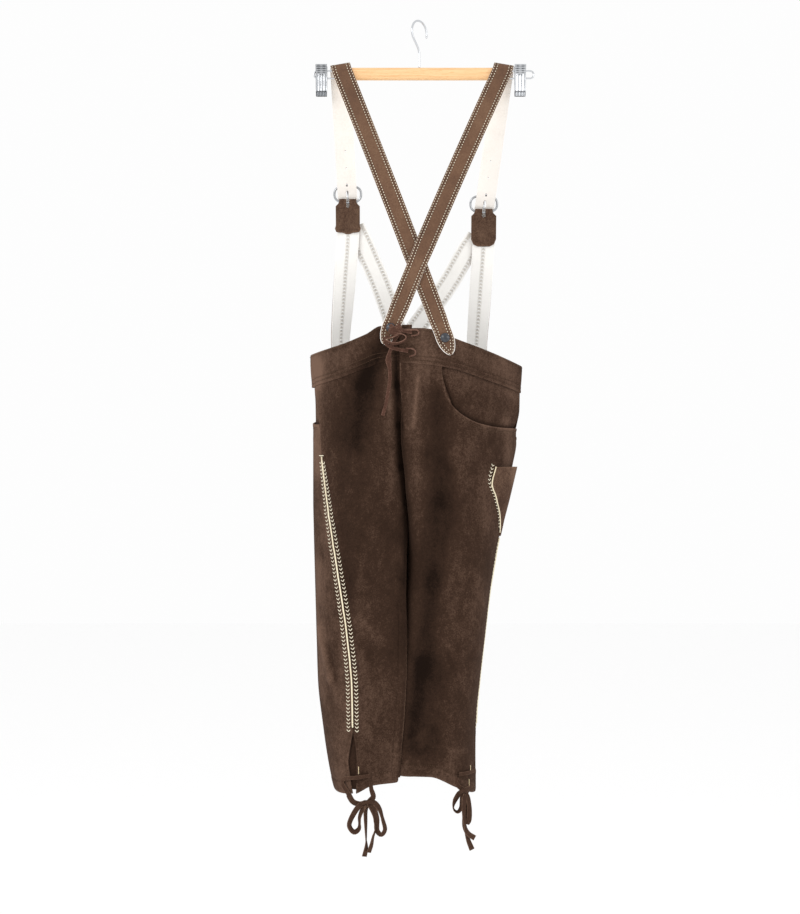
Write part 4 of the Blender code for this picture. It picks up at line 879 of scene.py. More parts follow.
def stitches(name, centres, ahead, out, size, finish):
    """One bean of thread at each centre, with its length along ahead and its height along out."""
    points, faces = bean()
    ahead = unit(ahead)
    across = unit(np.cross(out, ahead))
    out = np.cross(ahead, across)
    local = points * np.asarray(size, float)
    verts = (centres[:, None] + ahead[:, None] * local[None, :, :1] + across[:, None] * local[None, :, 1:2]
             + out[:, None] * local[None, :, 2:])
    count = len(points)
    every = [[[k + i * count for k in face] for face in faces] for i in range(len(centres))]
    return placed(name, verts.reshape(-1, 3), [face for group in every for face in group], finish)


def spaced(points, out, pitch):
    """Evenly spaced places on a path of points with their outward directions: centres, directions, out."""
    s = along(points)
    at = np.arange(0.5 * pitch, s[-1] - 0.4 * pitch, pitch)
    ahead = placed_along(points, s, at + 0.5) - placed_along(points, s, at - 0.5)
    return placed_along(points, s, at), ahead, unit(placed_along(out, s, at))


def sewn(name, paths, pitch, size, finish, slot):
    """Running stitches along one or more paths, each a pair of points and outward directions: so far from stitch
    to stitch, each of one length, width and height."""
    found = [spaced(points, out, pitch) for points, out in paths]
    centre, ahead, facing = (np.concatenate([f[i] for f in found]) for i in range(3))
    kept(stitches(name, centre, ahead, facing, size, finish), slot)


def feathered(name, paths, pitch, spread, length, size, finish, slot):
    """Rows of slanting stitches in pairs, like an ear of wheat: at each step two beans lean out to both sides of
    the path, away from its start."""
    groups = []
    for points, out in paths:
        centre, ahead, facing = spaced(points, out, pitch)
        ahead = unit(ahead)
        across = np.cross(facing, ahead)
        for sign in (-1.0, 1.0):
            lean = ahead * math.cos(spread) + across * sign * math.sin(spread)
            groups.append((centre + lean * 0.5 * length, lean, facing))
    centre, ahead, facing = (np.concatenate([g[i] for g in groups]) for i in range(3))
    kept(stitches(name, centre, ahead, facing, (length * 1.12, *size), finish), slot)


# ---------------------------------------------------------------- finishes


def linear(colour):
    """A hex sRGB colour as linear red, green, blue and alpha."""
    parts = np.array([int(colour[i:i + 2], 16) / 255 for i in (1, 3, 5)])
    values = np.where(parts <= 0.04045, parts / 12.92, ((parts + 0.055) / 1.055) ** 2.4)
    return (*values.tolist(), 1.0)


def add(tree, kind, inputs=(), stops=(), out=0, **settings):
    """One node of a kind, with its settings and its ramp's stops. Each input, by name or in order, gets a value or
    a link from another node's output. Gives the output asked for."""
    node = tree.nodes.new("ShaderNode" + kind)
    for name, value in settings.items():
        setattr(node, name, value)
    for name, value in inputs.items() if isinstance(inputs, dict) else enumerate(inputs):
        if isinstance(value, bpy.types.NodeSocket):
            tree.links.new(value, node.inputs[name])
        else:
            node.inputs[name].default_value = value
    if stops:
        ramp = node.color_ramp.elements
        for element, (position, colour) in zip(ramp, (stops[0], stops[-1])):
            element.position, element.color = position, colour
        for position, colour in stops[1:-1]:
            ramp.new(position).color = colour
    return node.outputs[out] if node.outputs else None


def new_finish(name):
    """An empty material and its node tree."""
    material = bpy.data.materials.new(name)
    material.use_nodes = True
    material.node_tree.nodes.clear()
    return material, material.node_tree


def surfaced(material, inputs):
    """The material, with a surface that has these inputs."""
    tree = material.node_tree
    add(tree, "OutputMaterial", {"Surface": add(tree, "BsdfPrincipled", inputs)})
    return material


def mottled(tree, place, cells, detail, rough=0.55, stretch=(1, 1, 1), warp=0.0, reach=None):
    """Noise with so many cells to the metre, squeezed along an axis where stretch is below 1. With a reach, its
    middle values are spread from minus to plus the reach."""
    moved = add(tree, "Mapping", {"Vector": place, "Scale": stretch})
    noise = add(tree, "TexNoise", {"Vector": moved, "Scale": cells, "Detail": detail, "Roughness": rough,
                                   "Distortion": warp})
    return noise if reach is None else add(tree, "MapRange", (noise, 0.3, 0.7, -reach, reach))


def colour_from_tone_and_shading(tree, layers, dark, middle, light):
    """The tone_and_shading attribute, tone with painted light and shade, with each layer of tone added: dark where the
    sum is -1, middle at 0 and light at 1.
    """
    tone = add(tree, "Attribute", out="Fac", attribute_name="tone_and_shading")
    for layer in layers:
        tone = add(tree, "Math", (tone, layer), operation="ADD")
    spread_out = add(tree, "MapRange", (tone, -1.0, 1.0, 0.0, 1.0))
    return add(tree, "ValToRGB", (spread_out,), ((0.0, dark), (0.5, middle), (1.0, light)))


def napped_suede(name, dark, middle, light):
    """Suede: split leather brushed to a short nap. Its tone_and_shading attribute colours it darker in the hollows with
    painted shade and paler on the ridges with painted light, the ridges partly worn too; it is clouded where hands
    have brushed it, netted with fine pale creases where it has been folded, and finely speckled."""
    # Clouds about 60 mm across, brushed patches 16 mm, creases 12 mm apart, mottling 5 mm and speckle 1.6 mm. Real
    # fibres are too fine to show, so they are drawn 0.7 mm apart over a 4 mm pebble.
    material, tree = new_finish(name)
    place = add(tree, "TexCoord", out="Object")
    net = add(tree, "Math", (mottled(tree, place, 85, 3, 0.6, (1, 1, 0.7), 1.6), 0.5), operation="SUBTRACT")
    creases = add(tree, "MapRange", (add(tree, "Math", (net, 0.0), operation="ABSOLUTE"), 0.0, 0.035, 0.10, -0.03))
    layers = (mottled(tree, place, 16, 4, 0.6, (1, 1, 0.6), 0.6, 0.13),
              mottled(tree, place, 62, 4, 0.65, (1, 1, 0.5), 1.0, 0.12), creases,
              mottled(tree, place, 200, 3, 0.6, reach=0.13), mottled(tree, place, 640, 3, 0.75, reach=0.30))
    fibres = add(tree, "Bump", {"Strength": 0.5, "Distance": 0.0006,
                                "Height": mottled(tree, place, 1400, 4, 0.7, (1, 1, 0.45))})
    pebble = add(tree, "Bump", {"Strength": 0.4, "Distance": 0.0014, "Normal": fibres,
                                "Height": mottled(tree, place, 230, 3, 0.6)})
    return surfaced(material, {"Base Color": colour_from_tone_and_shading(tree, layers, dark, middle, light), "Normal": pebble,
                               "Roughness": 0.95, "Specular IOR Level": 0.06, "Sheen Weight": 0.18,
                               "Sheen Roughness": 0.6, "Sheen Tint": light})


def smooth_leather(name, dark, middle, light, rough=0.7, shine=0.3, clouded=1.0):
    """Dressed leather: an even colour with faint clouds, a pebbled grain under a millimetre across and a dull
    shine. The tone_and_shading attribute darkens pressed strips, paints shade under braids and on tucked cord ends,
    and pales worn edges."""
    # Clouds about 45 mm across and flecks 2.4 mm; the grain's pebbles are 0.9 mm and its soft waves 11 mm.
    material, tree = new_finish(name)
    place = add(tree, "TexCoord", out="Object")
    layers = (mottled(tree, place, 22, 4, 0.6, reach=0.30 * clouded),
              mottled(tree, place, 420, 3, 0.65, reach=0.22 * clouded))
    cells = add(tree, "TexVoronoi", {"Vector": place, "Scale": 1100.0})
    grain = add(tree, "Bump", {"Strength": 0.35, "Distance": 0.0003, "Height": cells})
    soft = add(tree, "Bump", {"Strength": 0.3, "Distance": 0.001, "Normal": grain,
                              "Height": mottled(tree, place, 90, 3)})
    return surfaced(material, {"Base Color": colour_from_tone_and_shading(tree, layers, dark, middle, light), "Normal": soft,
                               "Roughness": rough, "Specular IOR Level": shine})


def twisted_thread(name, colour):
    """Waxed thread: one colour, broken by darker flecks 0.7 mm long where the plies part, dull."""
    material, tree = new_finish(name)
    place = add(tree, "TexCoord", out="Object")
    flecks = add(tree, "MapRange", (mottled(tree, place, 1500, 3, 0.6), 0.35, 0.65, 0.0, 1.0))
    parted = tuple(0.72 * c for c in colour[:3]) + (1.0,)
    return surfaced(material, {"Base Color": add(tree, "ValToRGB", (flecks,), ((0.0, parted), (1.0, colour))),
                               "Roughness": 0.8, "Specular IOR Level": 0.25})


def plated_steel(name, dark, colour, rough=0.16):
    """Nickel-plated steel: a bright mirror with slightly uneven polish, which breaks its highlights. The
    tone_and_shading attribute tells the tarnish and the painted shade: the lower it is, the darker the plating, as in
    pressed grooves."""
    material, tree = new_finish(name)
    place = add(tree, "TexCoord", out="Object")
    tone_and_shading = add(tree, "Attribute", out="Fac", attribute_name="tone_and_shading")
    tarnish_and_shade = add(tree, "MapRange", (tone_and_shading, -1.0, 0.0, 0.0, 1.0))
    polish = add(tree, "MapRange", (mottled(tree, place, 180, 4, 0.6), 0.3, 0.7, rough - 0.05, rough + 0.08))
    return surfaced(material, {"Base Color": add(tree, "ValToRGB", (tarnish_and_shade,), ((0.0, dark), (1.0, colour))),
                               "Roughness": polish, "Metallic": 1.0})


def lacquered_wood(name, dark, light):
    """Pale beech under clear lacquer: grain lines 2.4 mm apart along the bar, short dark pores, and a soft gloss."""
    material, tree = new_finish(name)
    place = add(tree, "TexCoord", out="Object")
    grain = mottled(tree, place, 420, 5, 0.6, (0.035, 1, 1), 0.6)
    pores = add(tree, "MapRange", (mottled(tree, place, 1500, 2, 0.5, (0.06, 1, 1)), 0.60, 0.70, 0.0, 0.35))
    tone = add(tree, "Math", (grain, pores), operation="SUBTRACT")
    return surfaced(material, {"Base Color": add(tree, "ValToRGB", (tone,), ((0.25, dark), (0.65, light))),
                               "Roughness": 0.38, "Coat Weight": 0.6, "Coat Roughness": 0.12})


def polished_horn(name, dark, light):
    """Dark horn: layered streaks in a near-black body, with a waxed polish that gives one bright highlight."""
    material, tree = new_finish(name)
    place = add(tree, "TexCoord", out="Object")
    layers = mottled(tree, place, 160, 5, 0.6, (1, 1, 0.4), 1.5)
    return surfaced(material, {"Base Color": add(tree, "ValToRGB", (layers,), ((0.35, dark), (0.7, light))),
                               "Roughness": 0.28, "Coat Weight": 0.5, "Coat Roughness": 0.08})


def plain_matt(name, colour):
    """An even matt coat of paint."""
    return surfaced(new_finish(name)[0], {"Base Color": colour, "Roughness": 0.9, "Specular IOR Level": 0.1})


SUEDE = napped_suede("Dark brown suede", linear("#170e09"), linear("#37271e"), linear("#6e5648"))
LACE = napped_suede("Red-brown lace leather", linear("#241611"), linear("#533a30"), linear("#9c7868"))
TRIM = napped_suede("Brown suede trimmings", linear("#20140e"), linear("#463329"), linear("#7f6553"))
STRAP = smooth_leather("Brown strap leather", linear("#3b261b"), linear("#664935"), linear("#8b6d54"))
LINING = smooth_leather("Cream lining leather", linear("#a2937a"), linear("#f4eee7"), linear("#fbf9f5"), 0.85, 0.2,
                        0.28)
# The cream lining painted lighter for the front straps: painted light that makes up for the shade they hang in.
LINING_PAINTED_LIGHTER = smooth_leather("Cream lining leather, painted lighter", linear("#8d7f6a"), linear("#fdfbf7"), linear("#fffefc"), 0.85,
                             0.2, 0.14)
CORD = smooth_leather("Cream seam cord", linear("#bfa67c"), linear("#f0e4c6"), linear("#f8f0da"), 0.85, 0.15)
CREAM_THREAD = twisted_thread("Cream sewing thread", linear("#f2e8cf"))
BRAID_THREAD = twisted_thread("Pale braiding cord", linear("#fffefb"))
BROWN_THREAD = twisted_thread("Brown sewing thread", linear("#56402f"))
STEEL = plated_steel("Nickel-plated steel", linear("#2c3034"), linear("#cfd1d4"))
WOOD = lacquered_wood("Lacquered beech", linear("#dba56a"), linear("#f6cb96"))
HORN = polished_horn("Polished dark horn", linear("#14161b"), linear("#343844"))

# Sewing: how far from stitch to stitch, a stitch's length, width and height, its thread, and the slot it belongs to
SEWING = {
    "band": (3.0, (2.6, 0.55, 0.45), BROWN_THREAD, "suede_trim"),
    "mouth": (3.0, (2.6, 0.5, 0.4), BROWN_THREAD, "suede_trim"),
    "hem": (3.2, (2.7, 0.5, 0.42), BROWN_THREAD, "suede_trim"),
    "patch": (3.2, (2.3, 0.6, 0.5), BROWN_THREAD, "suede_trim"),
    "buttonhole": (1.3, (1.5, 1.0, 0.5), BROWN_THREAD, "strap_leather"),
    "bar": (2.2, (3.2, 1.5, 1.0), CREAM_THREAD, "piping"),
    "sheath": (3.4, (2.5, 0.8, 0.6), CREAM_THREAD, "piping"),
    "strap": (4.5, (2.2, 1.1, 0.82), CREAM_THREAD, "strap_lining"),
    "strap_back": (3.7, (2.4, 0.6, 0.45), BRAID_THREAD, "strap_lining"),
}
# Embroidery: from pair to pair, how far a stitch leans, its length, its width and height, its thread and its slot
CHEVRONS = (5.7, math.radians(44), 4.1, (1.2, 0.85), CREAM_THREAD, "piping")
BRAID = (5.6, math.radians(44), 3.5, (2.1, 1.6), CREAM_THREAD, "strap_lining")
BRAID_INSIDE = (*BRAID[:4], BRAID_THREAD, "strap_lining")

# ---------------------------------------------------------------- the breeches


def spread(length, fine_start, fine_end, fine, coarse):
    """Shares of a length, spaced finely for a stretch at each end and coarsely between."""
    middle = max(2, int((length - fine_start - fine_end) / coarse))
    parts = [np.linspace(0, fine_start, int(fine_start / fine) + 1)[:-1],
             np.linspace(fine_start, length - fine_end, middle)[:-1],
             np.linspace(length - fine_end, length, int(fine_end / fine) + 1)]
    return np.concatenate(parts) / length


def groove(distance, at, half_wide, deep):
    """A stitched line pressed into the leather at a distance from an edge."""
    return -deep * ridge(distance, at, half_wide)


def skin_wall(name, node, skin, s, z, finish=SUEDE, slot="suede_trim", relief=0.0, lift=0.0, thick=WALL,
              lighter=0.0, round_off=0.5):
    """A closed piece of leather over a grid of distances and heights, standing for a node: its outer face carries the
    relief."""
    outer, tone_and_shading = lie(skin, s, z, lift + relief)
    inner, _ = lie(skin, s, z, lift - thick)
    piece = wall(name, outer, inner, finish, tone_and_shading + lighter, round_off)
    cut_from_hide(piece, slot, [node])


def bridge(name, nodes, skins, half, round_off=0.5):
    """A piece of leather that bridges the centre, as one wall over its two halves. For each skin, half gives the
    distances and heights, the lifts of the outer and the inner face, how much lighter it is coloured, and the
    distances across as cut."""
    grids, cuts = [], []
    for side in SIDES:
        s, z, high, low, lighter, across = half(skins[side])
        outer, tone_and_shading = lie(skins[side], s, z, high)
        grids.append((outer, lie(skins[side], s, z, low)[0], tone_and_shading + lighter))
        cuts.append(flat_cut(across, z))
    outer, inner, tone_and_shading = (np.concatenate([left, right[:, ::-1]], axis=1) for left, right in zip(*grids))
    cut_from_hide(wall(name, outer, inner, SUEDE, tone_and_shading, round_off), "suede", nodes)


HEM_STITCH = 18.0
BAND_STITCHES = (5.5, 11.5)
MOUTH_STITCH = 5.0


def panel_grid(skin, part):
    """Distances and heights over a leg panel, from the waistband seam or the pocket mouth to the hem and from the
    side seam to the centre, with the hem's height and the vent's edge."""
    side = skin["side"]
    even = spread(195.0, 10.0, 12.0, 1.6, 2.5)
    count = len(even)
    if (side, part) in MOUTHS:
        shares = np.linspace(0, 1, 34)
        shares = np.sin(0.5 * math.pi * shares) ** 0.9
        mouth_s, mouth_z = mouth_line(skin, part, shares)
        rest = np.linspace(mouth_s[-1], length_of(skin, part, mouth_z[-1]), count - len(shares) + 1)
        top_s = np.concatenate([mouth_s, rest[1:]])
        gap = SEAM_GAP if part == "back" else 3 * SEAM_GAP
        top_z = np.concatenate([mouth_z[:-1], edge_height(skin, part, rest, "band_seam") - gap])
        top_share = top_s / length_of(skin, part, top_z)
    else:
        top_share = even
        top_z = edge_height(skin, part, even * length_of(skin, part, EDGE_LEVEL["band_seam"]), "band_seam") - SEAM_GAP
    hem_z = edge_height(skin, part, even * length_of(skin, part, EDGE_LEVEL["hem"]), "hem")
    down = spread(650.0, 14.0, 24.0, 1.5, 3.9)[:, None]
    upper = top_z + (LEVEL_ROW - top_z) * down / LEVEL_SHARE
    lower = LEVEL_ROW + (hem_z - LEVEL_ROW) * (down - LEVEL_SHARE) / (1 - LEVEL_SHARE)
    z = np.where(down < LEVEL_SHARE, upper, lower)
    blend = step(0.0, 0.35, down)
    share = np.clip(top_share + (even - top_share) * blend, 0, 1)
    edge = vent_edges(side, z[:, :1])[0 if part == "back" else 1]
    inseam = np.where(z[:, -1:] < CROTCH, SEAM_EDGE, 0.0)
    s = edge + share * (length_of(skin, part, z) - edge - inseam)
    return s, z, hem_z, edge


def leg_panel(skin, part):
    """A leg panel with a turned hem, a turned pocket mouth, and the raised lap of its side seam."""
    side = skin["side"]
    s, z, hem_z, edge = panel_grid(skin, part)
    from_hem = z - hem_z
    from_side = s - edge
    relief = groove(from_hem, HEM_STITCH, 1.5, 0.45) + 0.55 * (1 - step(HEM_STITCH - 2, HEM_STITCH, from_hem))
    relief = relief - 0.9 * (1 - step(0.0, 2.4, from_hem))
    relief = relief + 0.7 * (1 - step(7.0, 9.5, from_side)) * step(0.0, 1.6, from_side)
    # Worn paler at the hem and along the side seam, pressed darker along the hem's stitches.
    lightness = 0.30 * ridge(from_hem, 0, 2.5) + 0.12 * (1 - step(12.0, 26.0, from_hem))
    lightness = lightness + 0.12 * ridge(from_side, 0, 2.0) - 0.12 * ridge(from_hem, HEM_STITCH, 1.2)
    if part == "front":
        lightness = lightness + 0.34 * ridge(from_side, 0, 60.0)
    if part == "back":
        from_centre = length_of(skin, part, z) - s
        # Painted light along the centre edge from the seat down, where the parting between the halves falls into shade.
        lightness = lightness + 0.95 * ridge(from_centre, 0, 2.8) * (1 - step(-600, -560, z))
        if side == "right":
            # On the right half, a painted highlight along its lip at the top of the parting, and painted light beside
            # the inseam's lap against its shadow.
            lightness = lightness + 0.7 * ridge(from_centre, 0, 2.0) * step(-600, -560, z)
            lightness = lightness + 0.5 * ridge(from_centre, 0, 7.0) * (1 - step(-905, -885, z))
    if (side, part) in MOUTHS:
        away = from_mouth(skin, part, s, z)
        relief = relief + 0.6 * (1 - step(MOUTH_STITCH - 0.5, MOUTH_STITCH + 1.5, away))
        relief = relief + groove(away, MOUTH_STITCH, 1.0, 0.4)
        lightness = lightness + 0.45 * ridge(away, 0, 1.8) + 0.12 * (1 - step(6.0, 12.0, away))
    skin_wall(f"{part}_{side}_leg", f"{part}_{side}", skin, COUNTED[part] * s, z, slot="suede", relief=relief,
              lighter=lightness)


def from_mouth(skin, part, s, z):
    """How far each place is from the pocket mouth's line, over the flat leather."""
    mouth_s, mouth_z = mouth_line(skin, part, np.linspace(0, 1, 160))
    return np.sqrt(((s[..., None] - mouth_s) ** 2 + (z[..., None] - mouth_z) ** 2).min(axis=-1))


def pocket_facing(skin, part):
    """The piece that shows inside a pocket mouth, set behind the panel's edge."""
    mouth_s, mouth_z = mouth_line(skin, part, np.linspace(0, 1, 40))
    s = np.linspace(SEAM_EDGE, mouth_s[-1] + 7.0, 36)
    z_low = np.interp(s, mouth_s, mouth_z - 11.0)
    z_high = edge_height(skin, part, s, "band_seam") + FACING_RISE
    z = z_high + (z_low - z_high) * np.linspace(0, 1, 20)[:, None]
    s = np.broadcast_to(s, z.shape)
    away = from_mouth(skin, part, s, z)
    # Painted shadow just under the panel's edge along the mouth, and paler towards its top.
    shaded = 0.05 - 0.75 * ridge(away, 0, 4.5) + 0.22 * step(-590, -560, z)
    bulge = 3.2 * ridge(s, 0, 18.0) * step(2.0, 16.0, z - np.interp(s, mouth_s, mouth_z))
    panel = f"{part}_{skin['side']}"
    skin_wall(f"{panel}_facing", f"pocket_facing_{panel}", skin, COUNTED[part] * s, z,
              lift=bulge - FACING_DEPTH, thick=FACING_WALL, lighter=shaded, round_off=0.3)


def band_grid(skin, part, shares, down):
    """Distances and heights over a waistband, from the side seam to the centre, and how far down each lies."""
    top = edge_height(skin, part, shares * length_of(skin, part, EDGE_LEVEL["waist"]), "waist")
    seam = edge_height(skin, part, shares * length_of(skin, part, EDGE_LEVEL["band_seam"]), "band_seam")
    z = top + (seam - top) * down[:, None]
    s = SEAM_EDGE + shares * (length_of(skin, part, z) - SEAM_EDGE)
    return COUNTED[part] * s, z, z - seam


def band_relief(from_seam, down):
    """A waistband's swelling between its rolled top edge and its two stitched lines."""
    swell = 0.5 * np.sin(math.pi * np.clip((from_seam - BAND_STITCHES[1]) / 36.0, 0, 1)) ** 0.7
    lines = sum(groove(from_seam, at, 1.1, 0.45) for at in BAND_STITCHES)
    return swell + lines - 0.5 * (1 - step(0.0, 0.05, down[:, None])) + 0.2


def band_wear(from_seam, down):
    """A waistband's nap: worn along its two edges, pressed dark along its stitched lines."""
    lines = sum(-0.14 * ridge(from_seam, at, 1.2) for at in BAND_STITCHES)
    return 0.12 + lines + 0.16 * ridge(from_seam, 0, 1.6) + 0.20 * (1 - step(0.0, 0.06, down[:, None]))


def back_band(skin):
    """Half of the back waistband, from its side seam to the back slit."""
    side = skin["side"]
    down = spread(50.0, 3.0, 14.0, 0.9, 1.9)
    s, z, from_seam = band_grid(skin, "back", spread(190.0, 4.0, 10.0, 1.2, 2.3), down)
    skin_wall(f"back_band_{side}", f"waistband_back_{side}", skin, s, z, SUEDE, "suede",
              band_relief(from_seam, down), BAND_PROUD, WALL + BAND_PROUD, band_wear(from_seam, down))


def front_band(skins):
    """The front waistband, from side seam to side seam."""
    down = spread(50.0, 3.0, 14.0, 0.9, 1.9)
    shares = spread(190.0, 4.0, 4.0, 1.2, 2.3)[:-1]

    def half(skin):
        s, z, from_seam = band_grid(skin, "front", shares, down)
        return s, z, BAND_PROUD + band_relief(from_seam, down), -WALL, band_wear(from_seam, down), s

    bridge("front_band", ["waistband_front"], skins, half)


FLAP_STITCH = 6.0


def drop_flap(skins):
    """The flap that closes the front, with rounded lower corners and a stitched edge."""
    across = FLAP_HALF * (1 - spread(FLAP_HALF, 9.0, 2.0, 1.1, 2.0)[:-1])
    share = (across / FLAP_HALF) ** FLAP_SQUARENESS
    low = FLAP_FOOT + FLAP_CORNER * (1 - (1 - share) ** (1 / FLAP_SQUARENESS))
    z = FLAP_TOP + (low - FLAP_TOP) * spread(200.0, 9.0, 9.0, 1.1, 2.8)[:, None]
    edge = np.minimum(np.minimum(FLAP_HALF - across, z - low), FLAP_TOP - z + 2.0)
    relief = groove(edge, FLAP_STITCH, 1.1, 0.45) + 0.4 * (1 - step(4.5, 6.0, edge)) - 0.5 * (1 - step(0, 1.6, edge))
    # Worn paler along its edge, pressed darker along its stitched line.
    lightness = 0.28 * ridge(edge, 0, 1.6) - 0.12 * ridge(edge, FLAP_STITCH, 1.1)

    def half(skin):
        s = across - length_of(skin, "front", z)
        return s, z, FLAP_LIFT + FLAP_WALL + relief, FLAP_LIFT, lightness, across

    bridge("drop_flap", ["front_flap"], skins, half)


def seat_tape(skins):
    """The leather tape sewn inside the centre back seam, from the waistband down to the crotch."""
    z = np.linspace(-600.0, CROTCH + 4.0, 60)[:, None]

    def half(skin):
        reach = length_of(skin, "back", z)
        s = reach - np.linspace(9.0, 0.3, 5)
        # Coloured darker: painted shade, as it lies deep in the parting.
        return s, z, -WALL - 0.5, -WALL - 1.6, -0.4, s - reach

    bridge("seat_tape", [], skins, half, 0.0)


# The heights that the inseam's lap runs between
INSEAM_LAP = (-892.0, -1156.0)


def inseam_lap(skins):
    """The turned edge of the left leg's inseam, which lies over the right leg from below the crotch to the hem and
    bends down to it."""
    left, right = skins["left"], skins["right"]
    across = np.linspace(0, 1, 14)
    rows = []
    heights = np.linspace(*INSEAM_LAP, 96)
    for z in heights:
        reach = float(length_of(left, "back", z))
        s = np.linspace(reach - 120.0, reach - 50.0, 240)
        place, inward = flat_place(left, s, np.full(s.shape, z))
        turn = int(np.argmax(inward[:, 1] < 0.75))
        start = lie(left, s[turn] - 9.0, z, 0.9)[0]
        x1 = place[turn, 0] + 4.6
        y1 = lie(right, distance_at_x(right, "back", x1 + 0.3, z), z, 0.15)[0][1]
        rows.append(np.stack([start[0] + (x1 - start[0]) * across, start[1] + (y1 - start[1]) * across ** 3,
                              z + 0 * across], axis=1))
    outer = np.array(rows)
    wide = outer[:, -1, 0] - outer[:, 0, 0]
    from_edge = wide[:, None] * (1 - across)
    tone_and_shading = fold(outer[..., :2], np.broadcast_to([0.0, 1.0], outer.shape[:2] + (2,)), outer[..., 2])[1]
    # Along its edge: painted light at mid-height, painted shade above and below.
    shown = np.exp(-((heights[:, None] + 1050.0) / 100.0) ** 4)
    tone_and_shading = tone_and_shading * step(0.0, 6.0, from_edge) + (0.85 * shown - 0.3) * ridge(from_edge, 0, 1.4)
    piece = wall("inseam_lap", outer, outer + (0.0, 0.7, 0.0), SUEDE, tone_and_shading, 0.2)
    cut_from_hide(piece, "suede", [])


# Where the seam cord's ends come out beside each vent: place across and the two heights
CORD_ENDS = {"left": ((-92.0, -1139.0, -1150.0),), "right": ((76.5, -1144.0, -1155.0), (74.0, -1164.0, -1175.0))}


def cord_ends(skins):
    """The seam cord's tucked ends, which show beside each vent."""
    ends = []
    for side, runs_down in CORD_ENDS.items():
        for x, top, foot in runs_down:
            z = np.linspace(top, foot, 8)
            s = np.array([distance_at_x(skins[side], "back", x, height) for height in z])
            line = lie(skins[side], s, z, 1.0)[0]
            # Coloured darker: painted shade, as they are tucked into the vent.
            ends.append(round_wire("cord_end", line, CORD_THICK["end"], CORD, sides=8, tone_and_shading=-0.7))
    kept(merged("cord_ends", ends), "piping")


def knife_pocket(skin):
    """The sheath pocket on the right side seam: it stands off the leg and is open at its top."""
    table = columns(KNIFE_POCKET_ROWS, KNIFE_POCKET)
    z = np.linspace(KNIFE_POCKET[0][0], KNIFE_POCKET[-1][0], 70)[:, None]
    back, front, bulge = (through(table["z"], table[name], z) for name in ("back", "front", "bulge"))
    t = np.linspace(0, 1, 36)
    s = back + (front - back) * t
    lift = 0.4 + bulge * np.sin(math.pi * t) ** 0.8
    relief = groove(np.minimum(t, 1 - t) * (back - front), 3.0, 0.8, 0.35)
    # Worn paler along its top and front edges.
    lightness = 0.05 + 0.3 * ridge(z, z[0], 1.6) + 0.2 * ridge((1 - t) * (back - front), 0, 2.0)
    skin_wall("sheath_pocket", "knife_pocket", skin, s, z, TRIM, "suede_trim", relief,
              lift + SHEATH_WALL, SHEATH_WALL, lightness, 0.4)


def seam_cord(skin):
    """The cream cord sewn along a side seam."""
    side = skin["side"]
    z = np.arange(CORD_TOP[side], VENT_TOP[side] + 6.0, -3.0)
    path, _ = lie(skin, 0.0, z, 1.15 - 0.09 * seam_forward(side, z))
    kept(round_wire(f"seam_cord_{side}", path, CORD_THICK["seam"], CORD, sides=10), "piping", f"piping_{side}")


def vent_gusset(skin):
    """The strip that backs a side vent, behind the leg's wall."""
    side = skin["side"]
    back_hem = edge_height(skin, "back", np.array([6.0]), "hem")[0]
    front_hem = edge_height(skin, "front", np.array([10.0]), "hem")[0]
    z = np.linspace(VENT_TOP[side] + 8.0, max(back_hem, front_hem) + 3.0, 40)[:, None]
    # Coloured darker: painted shade inside the slit.
    skin_wall(f"gusset_{side}", f"vent_gusset_{side}", skin, np.linspace(-19.0, 15.0, 18), z,
              lift=-GUSSET_DEPTH, thick=FACING_WALL, lighter=-0.22, round_off=0.3)


# ---------------------------------------------------------------- braces and straps

# Distances of a strap's cross-section points from its edge, in millimetres
STRAP_EDGE_STEPS = np.array([0.0, 0.35, 0.9, 1.5, 2.1, 2.7, 3.5, 4.6, 5.5, 6.1, 6.7, 7.6, 9.5, 12.0])
STITCH_ROWS = (1.8, 6.1)


def half_widths(path, width, points):
    """A strap's half width along its path, drawn in to a rounded point at the chosen ends."""
    s = along(path[:, :3])
    half = np.full(len(s), 0.5 * width)
    for wanted, distance in zip(points, (s, s[-1] - s)):
        if wanted:
            near = np.clip(1 - distance / TONGUE_POINT, 0, 1)
            half = np.minimum(half, np.maximum(0.5 * width * (1 - near ** 2) ** 0.62, 0.5))
    return half


def strap_frame(path):
    """A strap's middle line with its directions across and out."""
    return path[:, :3], *across_and_out(path[:, :3], path[:, 3:])


def strap_ply(name, path, half, low, high, finish, seams=(), braided=()):
    """One ply of a strap: flat underneath, its face pressed down along its sewn lines and thinned at its edges.
    Under a braid, at a share of the half width, it is coloured darker with painted shade."""
    middle, across, out = strap_frame(path)
    full = half.max()
    steps = np.concatenate([STRAP_EDGE_STEPS[STRAP_EDGE_STEPS < full - 1.5], [full]])
    shares = [steps / full - 1, 1 - steps / full]
    shares += [place + np.array([-3.6, -2.4, -1.4, 0.0, 1.4, 2.4, 3.6]) / full for place in braided]
    v = np.unique(np.round(np.concatenate(shares), 5))
    from_edge = half[:, None] * (1 - np.abs(v))
    relief = -0.45 * (1 - step(0.0, 1.1, from_edge)) + sum(groove(from_edge, at, 0.45, 0.22) for at in seams)
    tone_and_shading = 0.16 * (1 - step(0.0, 0.9, from_edge))
    if len(seams) == 2:
        tone_and_shading = tone_and_shading - 0.42 * step(0.6, 1.6, from_edge) * (1 - step(seams[1] + 0.6, seams[1] + 1.8, from_edge))
    # Painted shade under each braid's stitches.
    for place in braided:
        tone_and_shading = tone_and_shading - 0.5 * np.exp(-(half[:, None] * (v - place) / 2.9) ** 4)
    sideways = across[:, None] * (half[:, None] * v)[:, :, None]
    outer = middle[:, None] + sideways + out[:, None] * (high + relief)[:, :, None]
    inner = middle[:, None] + sideways + out[:, None] * low
    return wall(name, outer, inner, finish, tone_and_shading + np.zeros(from_edge.shape), 0.3)


